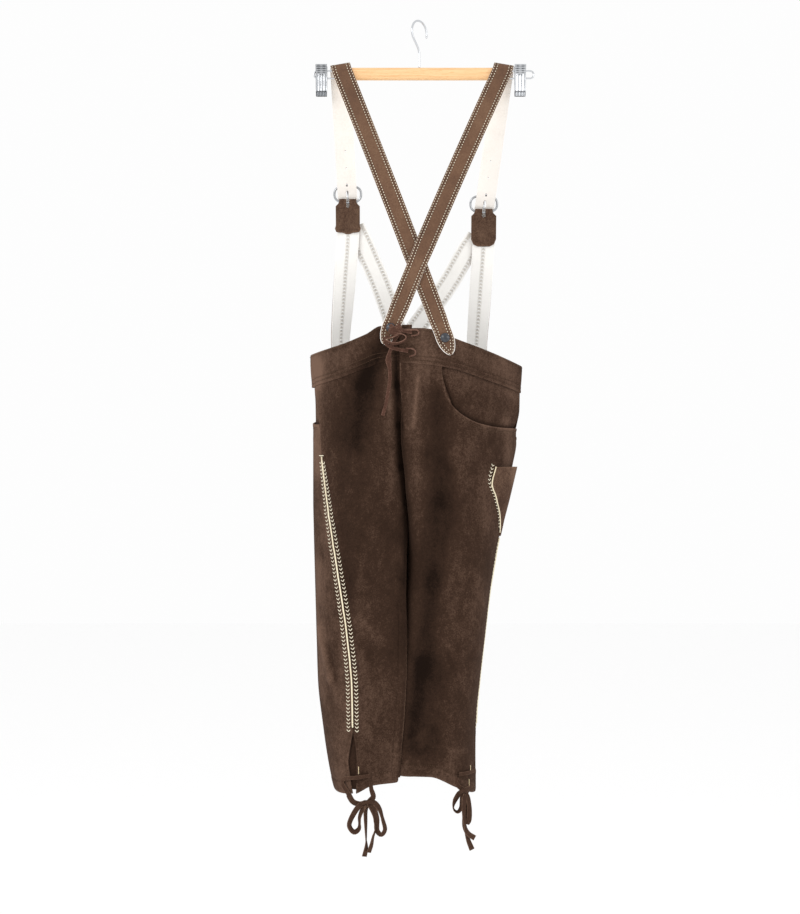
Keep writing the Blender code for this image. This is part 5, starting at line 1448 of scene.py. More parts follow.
def smooth_strap(points, fine=3.0):
    """A strap's middle line through its points, close-set, with its tongues' ends closer still."""
    path = smooth_path(points, fine)
    s = along(path[:, :3])
    at = s[-1] * spread(s[-1], 24.0, 24.0, 1.2, fine)
    return placed_along(path, s, at)


def front_plane(z):
    """How far forward the front of the braces hangs at a height."""
    return 8.0 + 0.179 * (-70.0 - z)


def brace_path(side):
    """The middle of one strap's inner face: from its back button, across the back, over the bar and down in
    front to its buckle."""
    bx, bz = BACK_BUTTONS[OTHER[side]]
    tx = BAR_CROSSING[side]
    kx, kz = BUCKLES[side]
    radius = BAR_DEPTH / 2 + BAR_CLEARANCE
    turn_z = BAR_TOP + 0.8 - radius
    turn = np.radians(np.arange(0, 181, 10))
    lean = np.interp(turn, (0, math.pi), ((tx - bx) / (turn_z - bz), (tx - kx) / (kz - turn_z)))
    x = tx + radius * (np.cumsum(lean) - 0.5 * lean.sum()) * turn[1]
    rise = np.array([x[0] - bx, 0.0, turn_z - bz])
    rise /= np.linalg.norm(rise)
    seat = np.array([bx, TONGUE_PLANE, bz])
    leave = seat + rise * 16.0
    arrive = np.array([x[0], -radius - 0.3, turn_z]) - rise * 5.0
    points = [(*(seat - rise * 27.0), 0, -1, 0), (*seat, 0, -1, 0), (*leave, 0, -1, 0)]
    for share in (0.08, 0.16, 0.26, 0.36, 0.5, 0.7, 0.9, 1.0):
        nearer = NEARER[side] * math.sin(math.pi * min(1.0, share / 0.5)) ** 2
        bow = BRACE_BOW[side] * math.sin(math.pi * share)
        points.append((*(leave + (arrive - leave) * share + np.array([bow, nearer, 0])), 0, -1, 0))
    back = smooth_strap(points)
    tilt = AWAY[side] * BAR_TILT
    over = np.stack([x, -radius * np.cos(turn), turn_z + (radius + 0.32 * STRAP_WIDTH * BAR_TILT) * np.sin(turn),
                     tilt * np.sin(turn), -np.cos(turn), np.sin(turn)], axis=1)
    points = []
    for z, forward in [(-100, 0.0), (-150, 0.0)] + [(kz + above, forward) for above, forward in BRACE_FRONT]:
        share = (z - turn_z) / (kz - turn_z)
        points.append((x[-1] + (kx - x[-1]) * share, front_plane(z) + forward, z, 0, 1, 0.18))
    return np.vstack([back, over, smooth_strap(points)])


def front_seat(skin):
    """Where a straight front strap lies on the waistband at its button, and the way the band faces there."""
    x, z = FRONT_BUTTONS[skin["side"]]
    s = -distance_at_x(skin, "front", x, z)
    place, inward = flat_place(skin, np.array(s), np.array(z))
    facing = np.array([*-inward, 0.0])
    return np.array([*place, z]) + facing * (BAND_PROUD + SEAM_GAP + 0.6), facing


def diagonal_layer(side):
    """The right slanting strap lies on the left one at the middle button."""
    return 0.0 if side == "left" else STRAP_THICK + DIAGONAL_LAYER


def middle_seat(skins, side):
    """Where a slanting strap lies over the flap at the middle button."""
    x, z = MIDDLE_BUTTON
    skin = skins["left"]
    plane = flat_place(skin, 6.0 - length_of(skin, "front", z), np.array(z))[0][1]
    return np.array([x, plane + FLAP_LIFT + FLAP_WALL + 1.6 + diagonal_layer(side), z])


def front_strap_path(skins, side):
    """The straight strap from the buckle patch down to its button on the front waistband."""
    kx, kz = BUCKLES[side]
    seat, facing = front_seat(skins[side])
    top_z = kz - 30.0
    points = [(kx, front_plane(z) + 2.3, z, 0, 1, 0.15) for z in (top_z, top_z - 24.0)]
    start = np.array([kx, front_plane(top_z - 24) + 2.3, top_z - 24.0])
    end = seat + np.array([0, 0, 44.0]) + facing * 1.5
    for share in (0.33, 0.66):
        mid = start + (end - start) * share
        face = np.array([0, 1, 0.1]) * (1 - share) + facing * share
        points.append((*mid, *face))
    points.append((*end, *facing))
    for drop in (14.0, 0.0, -22.0):
        points.append((*(seat + np.array([0, 0, drop])), *facing))
    return smooth_strap(points)


def diagonal_strap_path(skins, side):
    """The slanting strap from the buckle patch to the middle button of the front waistband."""
    kx, kz = BUCKLES[side]
    inwards = -AWAY[side]
    seat = middle_seat(skins, side)
    middle_y = front_plane(DIAGONAL_MIDDLE_Z) + 6.5 + 0.5 * diagonal_layer(side)
    start = np.array([kx + 12.0 * inwards, front_plane(kz - 36) + 6.3, kz - 36.0])
    middle = np.array([DIAGONAL_MIDDLE[side], middle_y, DIAGONAL_MIDDLE_Z])
    near = seat + np.array([-12.0 * inwards, -5.0, 48.0])
    above = seat + np.array([-3.0 * inwards, 0, 14.0])
    tip = seat + np.array([2.0 * inwards, 0, -20.0])
    points = [(*point, 0, 1, 0.15) for point in (start, start + (middle - start) * 0.45, middle)]
    points.append((*near, 0, 1, 0.12))
    points += [(*point, 0, 1, 0) for point in (above, seat, tip)]
    return smooth_strap(points)


def strap(name, path, width, points, seams, inside=LINING, braided=(), drawn_in=1.0):
    """A strap of two plies back to back: the cream lining inside, a hair wider, and the brown leather outside.
    drawn_in narrows its first stretch, where it is folded in behind a buckle patch."""
    s = along(path[:, :3])
    narrowed = BRACE_NARROWED if points[0] else ((0.0, 26.0), (drawn_in, 1.0))
    half = half_widths(path, width, points) * np.interp(s, *narrowed)
    margin = 0.2 + (1.1 * ridge(s, 0, 52.0) if points[0] else 0.0)
    pieces = []
    for ply, ply_half, low, high, finish, rows, slot in (
            ("inside", half + margin, 0.0, STRAP_PLY, inside, (), "strap_lining"),
            ("face", half, STRAP_PLY + 0.05, STRAP_THICK, STRAP, seams, "strap_leather")):
        piece = strap_ply(f"{name}_{ply}", path, ply_half, low, high, finish, rows, braided)
        node = name + ("_lining" if ply == "inside" else "")
        pieces.append(cut_from_hide(piece, slot, [node]))
    return half, pieces


def buckle_patch(side):
    """The suede piece that holds the buckle's bar, slotted at its top for the prong: a band between the slot's
    edge and the patch's outline. The left one is old and its foot curls."""
    kx, kz = BUCKLES[side]
    inner = smooth_path([(-2.6, 5, 0), (-2.6, -2, 0), (-2.6, -6, 0), (-1.6, -8, 0), (0, PATCH_SLOT_FOOT, 0),
                         (1.6, -8, 0), (2.6, -6, 0), (2.6, -2, 0), (2.6, 5, 0)], 0.4)
    half = [(x, z, 0) for x, z in PATCH_HALF]
    outer = np.array([(-x, z, 0) for x, z, _ in half] + [(x, z, 0) for x, z, _ in reversed(half)], float)
    count = 90
    rim = [np.stack([np.interp(np.linspace(0, along(line)[-1], count), along(line), column) for column in line.T[:2]],
                    axis=1) for line in (inner, outer)]
    t = spread(20.0, 2.0, 8.0, 0.6, 1.5)[:, None, None]
    flat = rim[0] * (1 - t) + rim[1] * t
    x, z = flat[..., 0] * (0.93 if side == "left" else 0.965), flat[..., 1]
    low = step(-34, -50, z)
    curl = low * (1.8 * np.cos(x / 4.6) - 0.2) if side == "left" else 0.0 * x
    if side == "left":
        x = x * (1 + 0.16 * low)
        z = z + low * (5.0 - 1.3 * np.cos(x / 3.0))
    inwards = 20 * (1 - t[:, 0, 0])
    from_edge = np.broadcast_to(along(np.stack([0 * inwards, inwards, 0 * inwards], axis=1))[:, None], x.shape)
    from_edge = from_edge.max() - from_edge
    relief = groove(from_edge, 2.6, 0.7, 0.3) - 0.4 * (1 - step(0.0, 1.2, from_edge))
    y = front_plane(kz + z) + curl
    back_face = np.stack([kx + x, y, kz + z], axis=-1)
    front_face = np.stack([kx + x, y + PATCH_THICK + relief, kz + z], axis=-1)
    piece = wall(f"patch_{side}", front_face, back_face, TRIM, 0.3 * (1 - step(0, 1.5, from_edge)) + 0.24, 0.3)
    cut_from_hide(piece, "suede_trim", [f"buckle_patch_{side}"])
    return back_face[-4], np.tile([0.0, -1.0, 0.0], (count, 1))


def buckle(side):
    """A rounded steel frame on the patch's bar, and its prong through the strap's hole."""
    kx, kz = BUCKLES[side]
    c, s = circle(72)
    x = kx + BUCKLE_HALF_WIDTH * squared(c, 2 / BUCKLE_SQUARENESS)
    rise = BUCKLE_HALF_HEIGHT * (1 + squared(s, 2 / BUCKLE_SQUARENESS))
    y = front_plane(kz + rise) + BUCKLE_LIFT + BUCKLE_TILT * rise / (2 * BUCKLE_HALF_HEIGHT)
    frame = round_wire(f"buckle_{side}", np.stack([x, y, kz + rise], axis=1), BUCKLE_WIRE, STEEL, closed=True,
                       tone_and_shading=-0.35)
    kept(frame, "steel", f"buckle_frame_{side}")
    points = smooth_path([(kx, front_plane(kz + above) + forward, kz + above) for above, forward in PRONG], 0.8)
    prong = round_wire(f"prong_{side}", points, PRONG_THICK, STEEL, taper=((0, 0.7, 1), (1.05, 1.0, 0.62)),
                       tone_and_shading=-0.15)
    kept(prong, "steel", f"buckle_prong_{side}")


# A horn button: a soft dome inside a thin rim, as shares of its radius and height
DOME = ((0, 1), (0.18, 0.99), (0.36, 0.93), (0.52, 0.84), (0.66, 0.72), (0.76, 0.62), (0.80, 0.58), (0.84, 0.60),
        (0.90, 0.62), (0.96, 0.56), (1, 0.42), (1, 0.2), (0.95, 0.05), (0.85, 0), (0, 0))


def button(name, size, centre, facing, node):
    """A horn button of one width and height, set on a centre and facing out."""
    wide, high = size
    profile = [(0.5 * wide * r, high * h) for r, h in DOME]
    kept(turned(name, profile, centre, facing, HORN), "horn", node)


def buttons(skins):
    """Two on the back, one for each straight front strap, two for the flap and one in the middle."""
    base = STRAP_THICK + 0.1
    for side, skin in skins.items():
        x, z = BACK_BUTTONS[side]
        button(f"back_button_{side}", SMALL_BUTTON, (x, TONGUE_PLANE - base, z), (0, -1, 0), f"button_back_{side}")
        seat, facing = front_seat(skin)
        button(f"front_button_{side}", LARGE_BUTTON, seat + facing * base, facing, f"button_front_{side}")
        s = FLAP_BUTTON_FROM_CENTRE - length_of(skin, "front", FLAP_BUTTON_Z)
        place = lie(skin, s, FLAP_BUTTON_Z, FLAP_LIFT + FLAP_WALL + 0.3)[0]
        button(f"flap_button_{side}", LARGE_BUTTON, place, outward(skin, s, FLAP_BUTTON_Z), f"button_flap_{side}")
    button("middle_button", LARGE_BUTTON, middle_seat(skins, "right") + np.array([0, base, 0]), (0, 1, 0),
           "button_front_middle")


# ---------------------------------------------------------------- hanger


def hanger_bar():
    """The wooden bar: a squared oval section along x, drawn in to domed ends."""
    c, s = circle(48)
    t = np.concatenate([np.linspace(-1, -BAR_STRAIGHT, 12), np.linspace(-0.96, 0.96, 60),
                        np.linspace(BAR_STRAIGHT, 1, 12)])[:, None]
    in_end = np.clip((np.abs(t) - BAR_STRAIGHT) / (1 - BAR_STRAIGHT), 0, 1)
    shrink = np.sqrt(np.maximum(1 - 0.72 * in_end ** 2.2, 0.02))
    rings = np.stack([BAR_CENTRE_X + 0.5 * BAR_LENGTH * t + 0 * c, 0.5 * BAR_DEPTH * squared(c, 0.75) * shrink,
                      0.5 * (BAR_TOP + BAR_BOTTOM) + 0.5 * (BAR_TOP - BAR_BOTTOM) * squared(s, 0.75) * shrink], axis=-1)
    kept(placed("bar", rings.reshape(-1, 3), tube_faces(*rings.shape[:2]), WOOD), "wood", "hanger_bar")


def hook():
    """The turned steel hook, its tip slightly domed."""
    turn = math.radians(HOOK_TURN)
    stem = [(0.0, BAR_TOP + SEAM_GAP), (0.0, -56.0), (-1.5, -44.0), (-8.5, -34.5), (-14.8, -27.0)]
    centre_z = HOOK_THICK / 2 - HOOK_RADIUS
    arc = [(HOOK_RADIUS * math.cos(math.radians(a)), centre_z + HOOK_RADIUS * math.sin(math.radians(a)))
           for a in range(195, -16, -15)]
    path = smooth_path([(h * math.cos(turn), h * math.sin(turn), z) for h, z in stem + arc], 1.2)
    kept(round_wire("hook", path, HOOK_THICK, STEEL, sides=20), "steel", "hanger_hook")


def end_wires():
    """A loop of wire at each end of the bar."""
    high, low = WIRE_HEIGHTS
    bend = (high - low) / 2
    for side, sign in AWAY.items():
        end = BAR_CENTRE_X + sign * (BAR_LENGTH / 2 - 3.0)
        centre = BAR_CENTRE_X + sign * (BAR_LENGTH / 2 + SEAM_GAP + WIRE_REACH[side] - bend)
        loop = [(centre + sign * bend * math.sin(a), 0.0, low + bend + bend * math.cos(a))
                for a in np.linspace(0, math.pi, 25)]
        path = np.array([(end, 0, high), *[(end + (centre - end) * t, 0, high) for t in np.linspace(0.1, 0.95, 10)],
                         *loop, *[(centre + (end - centre) * t, 0, low) for t in np.linspace(0.05, 0.9, 10)],
                         (end, 0, low)])
        kept(round_wire(f"end_wire_{side}", path, WIRE_THICK, STEEL, sides=12), "steel", f"hanger_wire_{side}")


# Half of a clip seen from its end, as distance from the middle and height of its outer line
CLIP_OUTER = ((8.6, -67.0), (8.6, -70.0), (4.4, -78.5), (2.8, -92.0), (1.8, -106.0), (3.4, -109.0), (3.4, -115.0))
CLIP_METAL = 1.0
CLIP_TURNS = 2.7
CLIP_FLUTES = 4.0
# How much darker each clip's plating is all over.
CLIP_DARKER = {"left": -0.22, "right": -0.04}


def clip(side):
    """A spring clip: two pressed plates with the wound spring's turns across their heads, flutes down their jaws and a
    dark rubber-edged foot, held together by the spring between them. Painted shade darkens the gaps between the
    turns in two columns, the flutes' hollows and the plates' edges."""
    middle = CLIP_X[side]
    points = smooth_path([(0.0, y, z) for y, z in CLIP_OUTER], 0.5)
    s = along(points)[:, None]
    across = np.linspace(-1, 1, 61)
    jaw = step(-80.0, -82.0, points[:, 2:3])
    inside_edge = step(1.0, 0.86, np.abs(across))
    turns, flutes = 2 * math.pi * s / CLIP_TURNS, 2 * math.pi * (across + 1) * 0.5 * CLIP_FLUTES
    columns_at = ridge(np.abs(across), 0.46, 0.24)
    relief = 0.42 * np.sin(turns) * (1 - jaw) * inside_edge + 0.34 * np.cos(flutes) * jaw * inside_edge
    foot = step(-107.5, -109.0, points[:, 2:3])
    # Painted shade between the spring's turns and in the flutes, a dark rubber foot, painted shadow along the plates'
    # edges.
    tarnish_and_shade = -(0.25 + 0.75 * columns_at) * step(0.2, -0.7, np.sin(turns)) * (1 - jaw)
    tarnish_and_shade = tarnish_and_shade - 0.62 * step(0.1, -0.8, np.cos(flutes)) * jaw * (1 - foot) - 0.62 * foot
    tarnish_and_shade = np.clip(tarnish_and_shade - 0.5 * step(0.93, 1.0, np.abs(across)) + CLIP_DARKER[side], -1, 0)
    slope = unit(np.gradient(points[:, 1:], axis=0))
    normal = np.stack([-slope[:, 1], slope[:, 0]], axis=1)
    x = middle + 0.5 * CLIP_WIDTH * (1 - 0.05 * step(-100, -114, points[:, 2:3])) * across
    pieces = []
    for sign, which in ((1.0, "front"), (-1.0, "back")):
        grids = []
        for lift in (-0.42, -0.42 - CLIP_METAL):
            off = lift + relief * (1 if lift == -0.42 else 0.5)
            y = sign * (points[:, 1:2] + normal[:, :1] * off)
            grids.append(np.stack([x, y, points[:, 2:3] + normal[:, 1:] * off], axis=-1))
        pieces.append(wall(f"clip_plate_{which}_{side}", grids[0], grids[1], STEEL, tarnish_and_shade, 0.2))
    coil = np.linspace(0, 2 * math.pi * 6, 180)
    spring = np.stack([middle - 5.0 + 10.0 * coil / coil[-1], 3.2 * np.cos(coil), -81.5 + 3.2 * np.sin(coil)], axis=1)
    pieces.append(round_wire(f"clip_spring_{side}", spring, 1.3, STEEL, sides=8, tone_and_shading=-0.5))
    kept(merged(f"clip_{side}", pieces), "steel", f"hanger_clip_{side}")


# ---------------------------------------------------------------- thongs


def thong(node, points, width, finish, turn, leg_x=None):
    """A free thong cut flat from leather, which twists slowly as it hangs: an oval carried along its route, with
    paler cut edges. One tied round a leg lies flat on it; the back one's loop stands on edge and its tail has a
    leaf-shaped widening."""
    route = smooth_path(points, 9.0)
    path = smooth_path(points, 2.0)
    far = along(path)
    facing = THONG_FACING
    if leg_x is not None:
        facing = np.stack([(path[:, 0] - leg_x) / 26.0, path[:, 1] / 60.0, 0.1 + 0.0 * far], axis=1)
        facing = np.where(path[:, 2:] > -1182.0, facing, THONG_FACING)
    across, out = across_and_out(path, facing)
    twists = np.array(THONG_TWISTS[node])
    swing = turn * np.sin(far / 21.0) * step(20.0, 70.0, far) * 0.4
    swing = swing + np.interp(far[-1] - far, twists[:, 0], twists[:, 1]) * step(20.0, 60.0, far)
    swell = np.ones(len(far))
    if leg_x is not None:
        swell = 0.66 + 0.34 * step(-1160.0, -1186.0, path[:, 2])
    if node == "back_lace_upper":
        swing = swing + 1.2 * (1 - step(-94.5, -92.0, path[:, 1]))
        swell = 1.0 + 0.9 * ridge(path[:, 2], LEAF_HEIGHT, 7.0)
    swing = swing[:, None]
    across, out = across * np.cos(swing) + out * np.sin(swing), out * np.cos(swing) - across * np.sin(swing)
    c, s = circle(16)
    oval = np.stack([0.5 * width * squared(c, 0.6), 0.5 * THONG_THICK * squared(s, 0.6)], axis=1)
    piece = swept(node + "_thong", path, across, out, oval, finish, swell, tone_and_shading=-0.12 + 0.75 * np.abs(c) ** 5)
    kept(piece, "suede_trim", node)


# ---------------------------------------------------------------- sewing and trimming


def skin_line(skin, s, z, lift):
    """A line on the skin, with the way the leather faces along it."""
    s, z, lift = np.broadcast_arrays(np.asarray(s, float), np.asarray(z, float), np.asarray(lift, float))
    return lie(skin, s, z, lift)[0], outward(skin, s, z)


def band_stitching(skins):
    """Two rows of brown stitches round the foot of the waistband and one under its top edge."""
    shares = np.linspace(0.006, 0.994, 160)
    paths = []
    for skin in skins.values():
        for part, sign in COUNTED.items():
            reach = length_of(skin, part, -525.0)
            seam = edge_height(skin, part, shares * reach, "band_seam")
            top = edge_height(skin, part, shares * reach, "waist")
            for z, lift in ((seam + BAND_STITCHES[0], 0.50), (seam + BAND_STITCHES[1], 0.50), (top - 3.5, 1.0)):
                paths.append(skin_line(skin, sign * shares * reach, z, BAND_PROUD + lift))
    sewn("band_stitching", paths, *SEWING["band"])


def mouth_stitching(skins):
    """A row of brown stitches inside each pocket mouth's turned edge."""
    paths = []
    for side, part in MOUTHS:
        skin = skins[side]
        s, z = mouth_line(skin, part, np.sin(0.5 * math.pi * np.linspace(0.02, 0.985, 60)))
        slope = unit(np.stack([np.gradient(s), np.gradient(z)], axis=1))
        for away in (MOUTH_STITCH, MOUTH_STITCH + 2.6):
            paths.append(skin_line(skin, COUNTED[part] * (s - away * np.minimum(slope[:, 1], 0)),
                                   z - away * np.abs(slope[:, 0]), 0.35))
    sewn("mouth_stitching", paths, *SEWING["mouth"])


def hem_stitching(skins):
    """A row of brown stitches that holds each turned hem, and one up each side of the side seams."""
    paths = []
    for side, skin in skins.items():
        for vent, (part, sign) in enumerate(COUNTED.items()):
            s = np.linspace(14.0, float(length_of(skin, part, EDGE_LEVEL["hem"])) - 5.0, 90)
            hem = edge_height(skin, part, s, "hem")
            paths.append(skin_line(skin, sign * s, hem + HEM_STITCH, 0.25))
            z = np.arange(VENT_TOP[side] - 6.0, hem[0] + 3.0, -4.0)
            paths.append(skin_line(skin, sign * (vent_edges(side, z)[vent] + 5.5), z, 0.85))
    sewn("hem_stitching", paths, *SEWING["hem"])


# How far the middle of each column of chevrons stands from the seam, by how far below the top
CHEVRON_ROWS = "drop off"
CHEVRON_OFF = ((-5, 3.4), (0, 3.6), (30, 5.0), (60, 5.8), (170, 6.4), (420, 6.6))


def chevrons(skins):
    """Cream embroidery down both sides of each seam cord: stacked chevrons that open upwards, closed at the top
    by a short bar."""
    paths, bars = [], []
    table = columns(CHEVRON_ROWS, CHEVRON_OFF)
    for side, top in CORD_TOP.items():
        skin = skins[side]
        z = np.arange(VENT_TOP[side] - 2.0, top - 3.0, 3.0)
        for sign in (-1.0, 1.0):
            turned_away = 1.6 * (1 - step(60.0, 180.0, top - z)) if side == "left" and sign < 0 else 0.0
            paths.append(skin_line(skin, sign * (through(table["drop"], table["off"], top - z) + turned_away), z,
                                   0.9 - 0.06 * seam_forward(side, z)))
        bars.append(skin_line(skin, np.linspace(-7.0, 7.0, 14), top + 2.0, 1.3))
    feathered("chevrons", paths, *CHEVRONS)
    sewn("chevron_bars", bars, *SEWING["bar"])


def sheath_trim(skin):
    """The cream cord round the back edge of the knife pocket, chevrons beside it, and its stitched front edge."""
    table = columns(KNIFE_POCKET_ROWS, KNIFE_POCKET)
    z = np.linspace(KNIFE_POCKET[-1][0] + 6, KNIFE_POCKET[0][0], 60)
    back, front = through(table["z"], table["back"], z), through(table["z"], table["front"], z)
    cord = lie(skin, back + 0.7, z, 1.7)[0]
    kept(round_wire("sheath_cord", cord, CORD_THICK["sheath"], CORD, sides=8), "piping")
    beside = skin_line(skin, back + 6.2, z + 5.0, 0.6)
    feathered("sheath_chevrons", [beside], *CHEVRONS)
    rows = [skin_line(skin, front[8:-2] + 1.5, z[8:-2], 2.6)]
    sewn("sheath_stitching", rows, *SEWING["sheath"])


def edge_rows(path, half, lift, away):
    """The two lines that run inside a strap's edges, from its start to its end."""
    middle, across, out = strap_frame(path)
    wide = half - away
    here = wide > 0.3
    rows = []
    for sign in (-1.0, 1.0):
        points = middle + across * (sign * np.maximum(wide, 0.3))[:, None] + out * lift
        rows.append((points[here], out[here]))
    return rows


def strap_stitching(name, path, half, rows):
    """Cream stitches along a strap's edges: these rows on its brown face, and the outer one on its lining."""
    paths = [line for away in rows for line in edge_rows(path, half, STRAP_THICK - 0.05, away)]
    sewn(f"{name}_stitches", paths, *SEWING["strap"])
    backs = [(points, -out) for points, out in edge_rows(path, half, 0.0, rows[0])]
    sewn(f"{name}_back_stitches", backs, *SEWING["strap_back"])


def braids(name, path, half, places):
    """Wheat-ear braids along a strap, on its lining and on its face, at shares of its half width."""
    middle, across, out = strap_frame(path)
    inner, outer = [], []
    stop = slice(8, -14)
    for place in places:
        line = middle + across * (place * half)[:, None]
        inner.append(((line - out * 0.1)[stop], -out[stop]))
        outer.append(((line + out * (STRAP_THICK - 0.05))[stop], out[stop]))
    feathered(f"{name}_braid_inside", inner, *BRAID_INSIDE)
    feathered(f"{name}_braid", outer, *BRAID)


# Holes of a brace: how far above the buckle's bar, half width and half height
PUNCHED = ((BUCKLE_HALF_HEIGHT, PRONG_HOLE_RADIUS, PRONG_HOLE_RADIUS * PRONG_HOLE_LONG), (26.0, 1.6, 2.3),
           (52.0, 1.1, 1.3), (78.0, 1.1, 1.3))


def punch(plies, side):
    """Cuts the prong's hole and the spare holes above it through both plies of a brace."""
    kx, kz = BUCKLES[side]
    lean = (BAR_CROSSING[side] - kx) / (BAR_TOP - kz)
    c, s = circle(14)
    parts = []
    for above, wide, tall in PUNCHED:
        ring = np.stack([kx + lean * above + wide * c, 0 * c + front_plane(kz + above), kz + above + tall * s], axis=1)
        points = np.concatenate([ring - (0, 12, 0), ring + (0, 26, 0)])
        parts.append(placed(f"punch_{side}", points, tube_faces(2, 14), STRAP))
    cutter = merged(f"punch_{side}", parts)
    for ply in plies:
        cut = ply.modifiers.new("Punched hole", "BOOLEAN")
        cut.operation = "DIFFERENCE"
        cut.object = cutter
        cut.solver = "EXACT"
        bpy.context.view_layer.objects.active = ply
        ply.modifiers.move(len(ply.modifiers) - 1, 0)
        bpy.ops.object.modifier_apply(modifier=cut.name)
    bpy.data.objects.remove(cutter, do_unlink=True)


def patch_stitching(side, rim, out):
    """Brown stitches inside the buckle patch's rim."""
    sewn(f"patch_stitches_{side}", [(rim, out)], *SEWING["patch"])


# The two loops of thong at the eyelets of the right half
BACK_STRANDS = (
    ((-27, -84.5, -484.5), (-16, -83.6, -484), (-5, -82.4, -484), (-2, -82, -487.5), (-5, -82, -491.5),
     (-13, -82.2, -492.5)),
    ((-21, -83.4, -511.5), (-12, -82.6, -512), (-7, -82, -515.5), (-8.5, -82, -521), (-16, -82, -523.5)),
)
# Turns of the back knot: both ends of each and how far it bulges
KNOT_TURNS = (((-45, -86.5, -477), (-29, -88, -491), 3.0), ((-30, -86, -476), (-45, -87.5, -490), 3.6),
              ((-47, -86, -485), (-27, -88, -482), 3.4))

# The place of each hem knot and how wide it is, and its thickness along its length
HEM_KNOTS = ((-77.0, -84.5, -1190.0, 17.0), (66.0, -65.5, -1177.0, 12.0))
HEM_KNOT_TAPER = ((0, 0.5, 1), (0.55, 1.0, 0.55))


def back_lacing():
    """The lacing of the back slit: a loop of thong at each eyelet of the right half, and the knots of the thongs."""
    strands = [round_wire("strand", smooth_path(points, 0.8), 2.2, LACE, sides=8, tone_and_shading=0.25) for points in BACK_STRANDS]
    kept(merged("back_lacing", strands), "suede_trim")
    knots = []
    for start, end, bulge in KNOT_TURNS:
        middle = (np.array(start) + np.array(end)) / 2 + (0, -bulge, 0)
        line = smooth_path([start, middle, end], 0.8)
        c, s = circle(14)
        knots.append(swept("knot", line, *across_and_out(line, (0, -1.0, 0)), np.stack([3.0 * c, 1.3 * s], axis=1),
                           LACE, tone_and_shading=0.5 * np.abs(c) ** 5 - 0.1))
    for x, y, z, wide in HEM_KNOTS:
        line = smooth_path([(x - 0.5 * wide, y, z - 3), (x, y - 2.6, z + 1), (x + 0.5 * wide, y, z - 2)], 0.8)
        knots.append(round_wire("hem_knot", line, 7.0, TRIM, sides=12, taper=HEM_KNOT_TAPER, tone_and_shading=-0.1))
    kept(merged("thong_knots", knots), "suede_trim")


BUTTONHOLE_LONG = 9.0
BUTTONHOLE_LEAN = 0.45


def buttonholes():
    """Two short rows of brown thread above each back button, in the tongue, as a buttonhole's edges."""
    paths = []
    for side in SIDES:
        x, z = BACK_BUTTONS[side]
        for shift in (-0.9, 0.9):
            a = np.array([x + shift, TONGUE_PLANE - STRAP_THICK - 0.1, z + 6.0])
            b = a + BUTTONHOLE_LONG * np.array([-BUTTONHOLE_LEAN * AWAY[side], 0, 1.0])
            line = a + (b - a) * np.linspace(0, 1, 14)[:, None]
            paths.append((line, np.tile([0.0, -1.0, 0.0], (14, 1))))
    sewn("buttonholes", paths, *SEWING["buttonhole"])


# ---------------------------------------------------------------- camera, light and floor

CAMERA_PLACE = (-0.030, -2.4, -0.674)
CAMERA_LENS = 61.0
FLOOR_HEIGHT = -1900.0
WORLD_WHITE = 0.985
# Lamps, in metres and watts: where each is and its power, how large they are, and where they point
LAMPS = {"left lamp": ((-2.2, -2.6, 0.9), 32.0), "right lamp": ((2.4, -2.2, 0.2), 16.0)}
LAMP_SIZE = 1.6
LAMPS_AIM = (0.0, 0.0, -0.7)


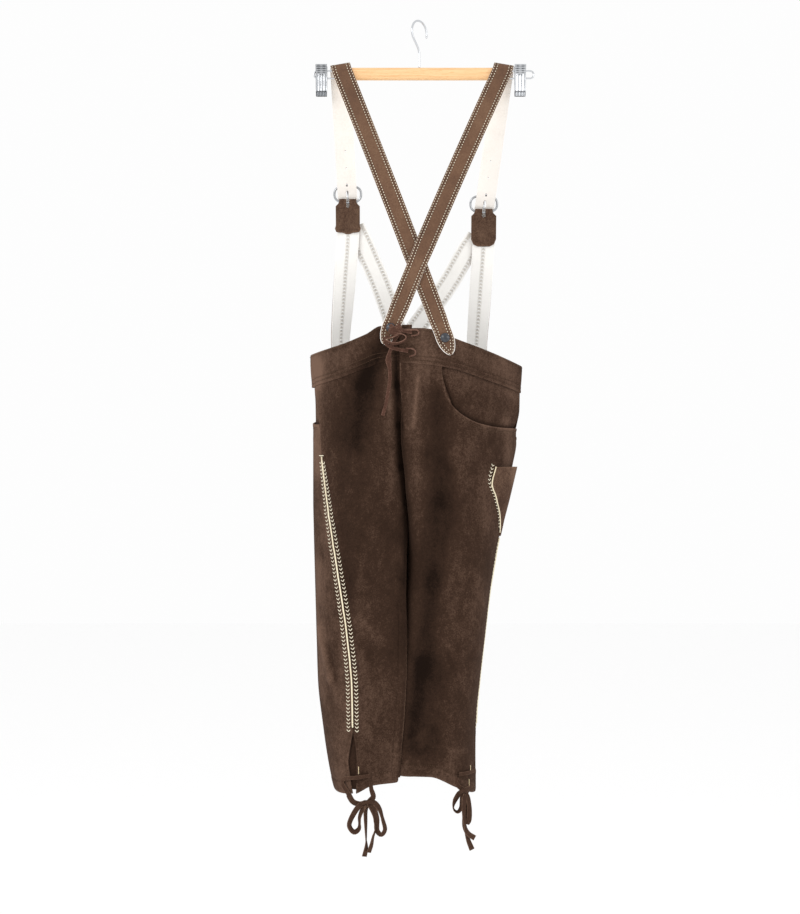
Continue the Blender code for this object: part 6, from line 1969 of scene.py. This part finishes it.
def studio():
    """The camera level with the middle of the garment, a pale floor well below it, white surroundings and two
    large soft lamps."""
    scene = bpy.context.scene
    scene.view_settings.view_transform = "Standard"
    camera = bpy.data.objects.new("camera", bpy.data.cameras.new("camera"))
    camera.location = CAMERA_PLACE
    camera.rotation_euler = (math.pi / 2, 0, 0)
    camera.data.lens = CAMERA_LENS
    camera.data.clip_end = 60.0
    scene.collection.objects.link(camera)
    scene.camera = camera
    for name, (place, power) in LAMPS.items():
        light = bpy.data.lights.new(name, "AREA")
        light.size = LAMP_SIZE
        light.energy = power
        lamp = bpy.data.objects.new(name, light)
        lamp.location = place
        aim = Vector(LAMPS_AIM) - Vector(place)
        lamp.rotation_euler = aim.to_track_quat("-Z", "Y").to_euler()
        scene.collection.objects.link(lamp)
    world = bpy.data.worlds.new("White surroundings")
    world.use_nodes = True
    world.node_tree.nodes["Background"].inputs["Color"].default_value = (WORLD_WHITE,) * 3 + (1.0,)
    scene.world = world
    points = np.array([(-9, -9, 0), (9, -9, 0), (9, 9, 0), (-9, 9, 0)]) * 1000.0 + (0, 0, FLOOR_HEIGHT)
    floor = placed("floor", points, [(0, 1, 2, 3)], plain_matt("Pale floor", linear("#fdfdfd")))


# ---------------------------------------------------------------- everything


def build():
    """Everything, in the order in which the pieces are made."""
    skins = {"left": skin_of("left", LEFT_SECTIONS), "right": skin_of("right", RIGHT_SECTIONS)}
    studio()
    for node, points in LACES.items():
        if node.startswith("back"):
            thong(node, points, BACK_THONG_WIDTH, LACE, 0.5)
        else:
            thong(node, points, HEM_THONG_WIDTH, TRIM, 0.9, LEG_X[node.split("_")[2]])
    for side, skin in skins.items():
        for part in COUNTED:
            leg_panel(skin, part)
        back_band(skin)
        vent_gusset(skin)
        name, path = f"strap_{side}", brace_path(side)
        half, plies = strap(name, path, STRAP_WIDTH, (True, True), STITCH_ROWS)
        punch(plies, side)
        strap_stitching(name, path, half, STITCH_ROWS)
        for name, path, width, places, drawn_in in (
                (f"front_strap_{side}", front_strap_path(skins, side), FRONT_STRAP_WIDTH, (0.0,), 1.0),
                (f"diagonal_strap_{side}", diagonal_strap_path(skins, side), DIAGONAL_WIDTH, DIAGONAL_BRAIDS, 0.85)):
            half, _ = strap(name, path, width, (False, True), STITCH_ROWS[:1], LINING_PAINTED_LIGHTER,
                            places, drawn_in)
            strap_stitching(name, path, half, STITCH_ROWS[:1])
            braids(name, path, half, places)
        patch_stitching(side, *buckle_patch(side))
        buckle(side)
        clip(side)
    for side, part in MOUTHS:
        pocket_facing(skins[side], part)
    front_band(skins)
    drop_flap(skins)
    seat_tape(skins)
    inseam_lap(skins)
    cord_ends(skins)
    knife_pocket(skins["right"])
    for skin in skins.values():
        seam_cord(skin)
    buttons(skins)
    hanger_bar()
    hook()
    end_wires()
    band_stitching(skins)
    mouth_stitching(skins)
    hem_stitching(skins)
    chevrons(skins)
    sheath_trim(skins["right"])
    back_lacing()
    buttonholes()


build()
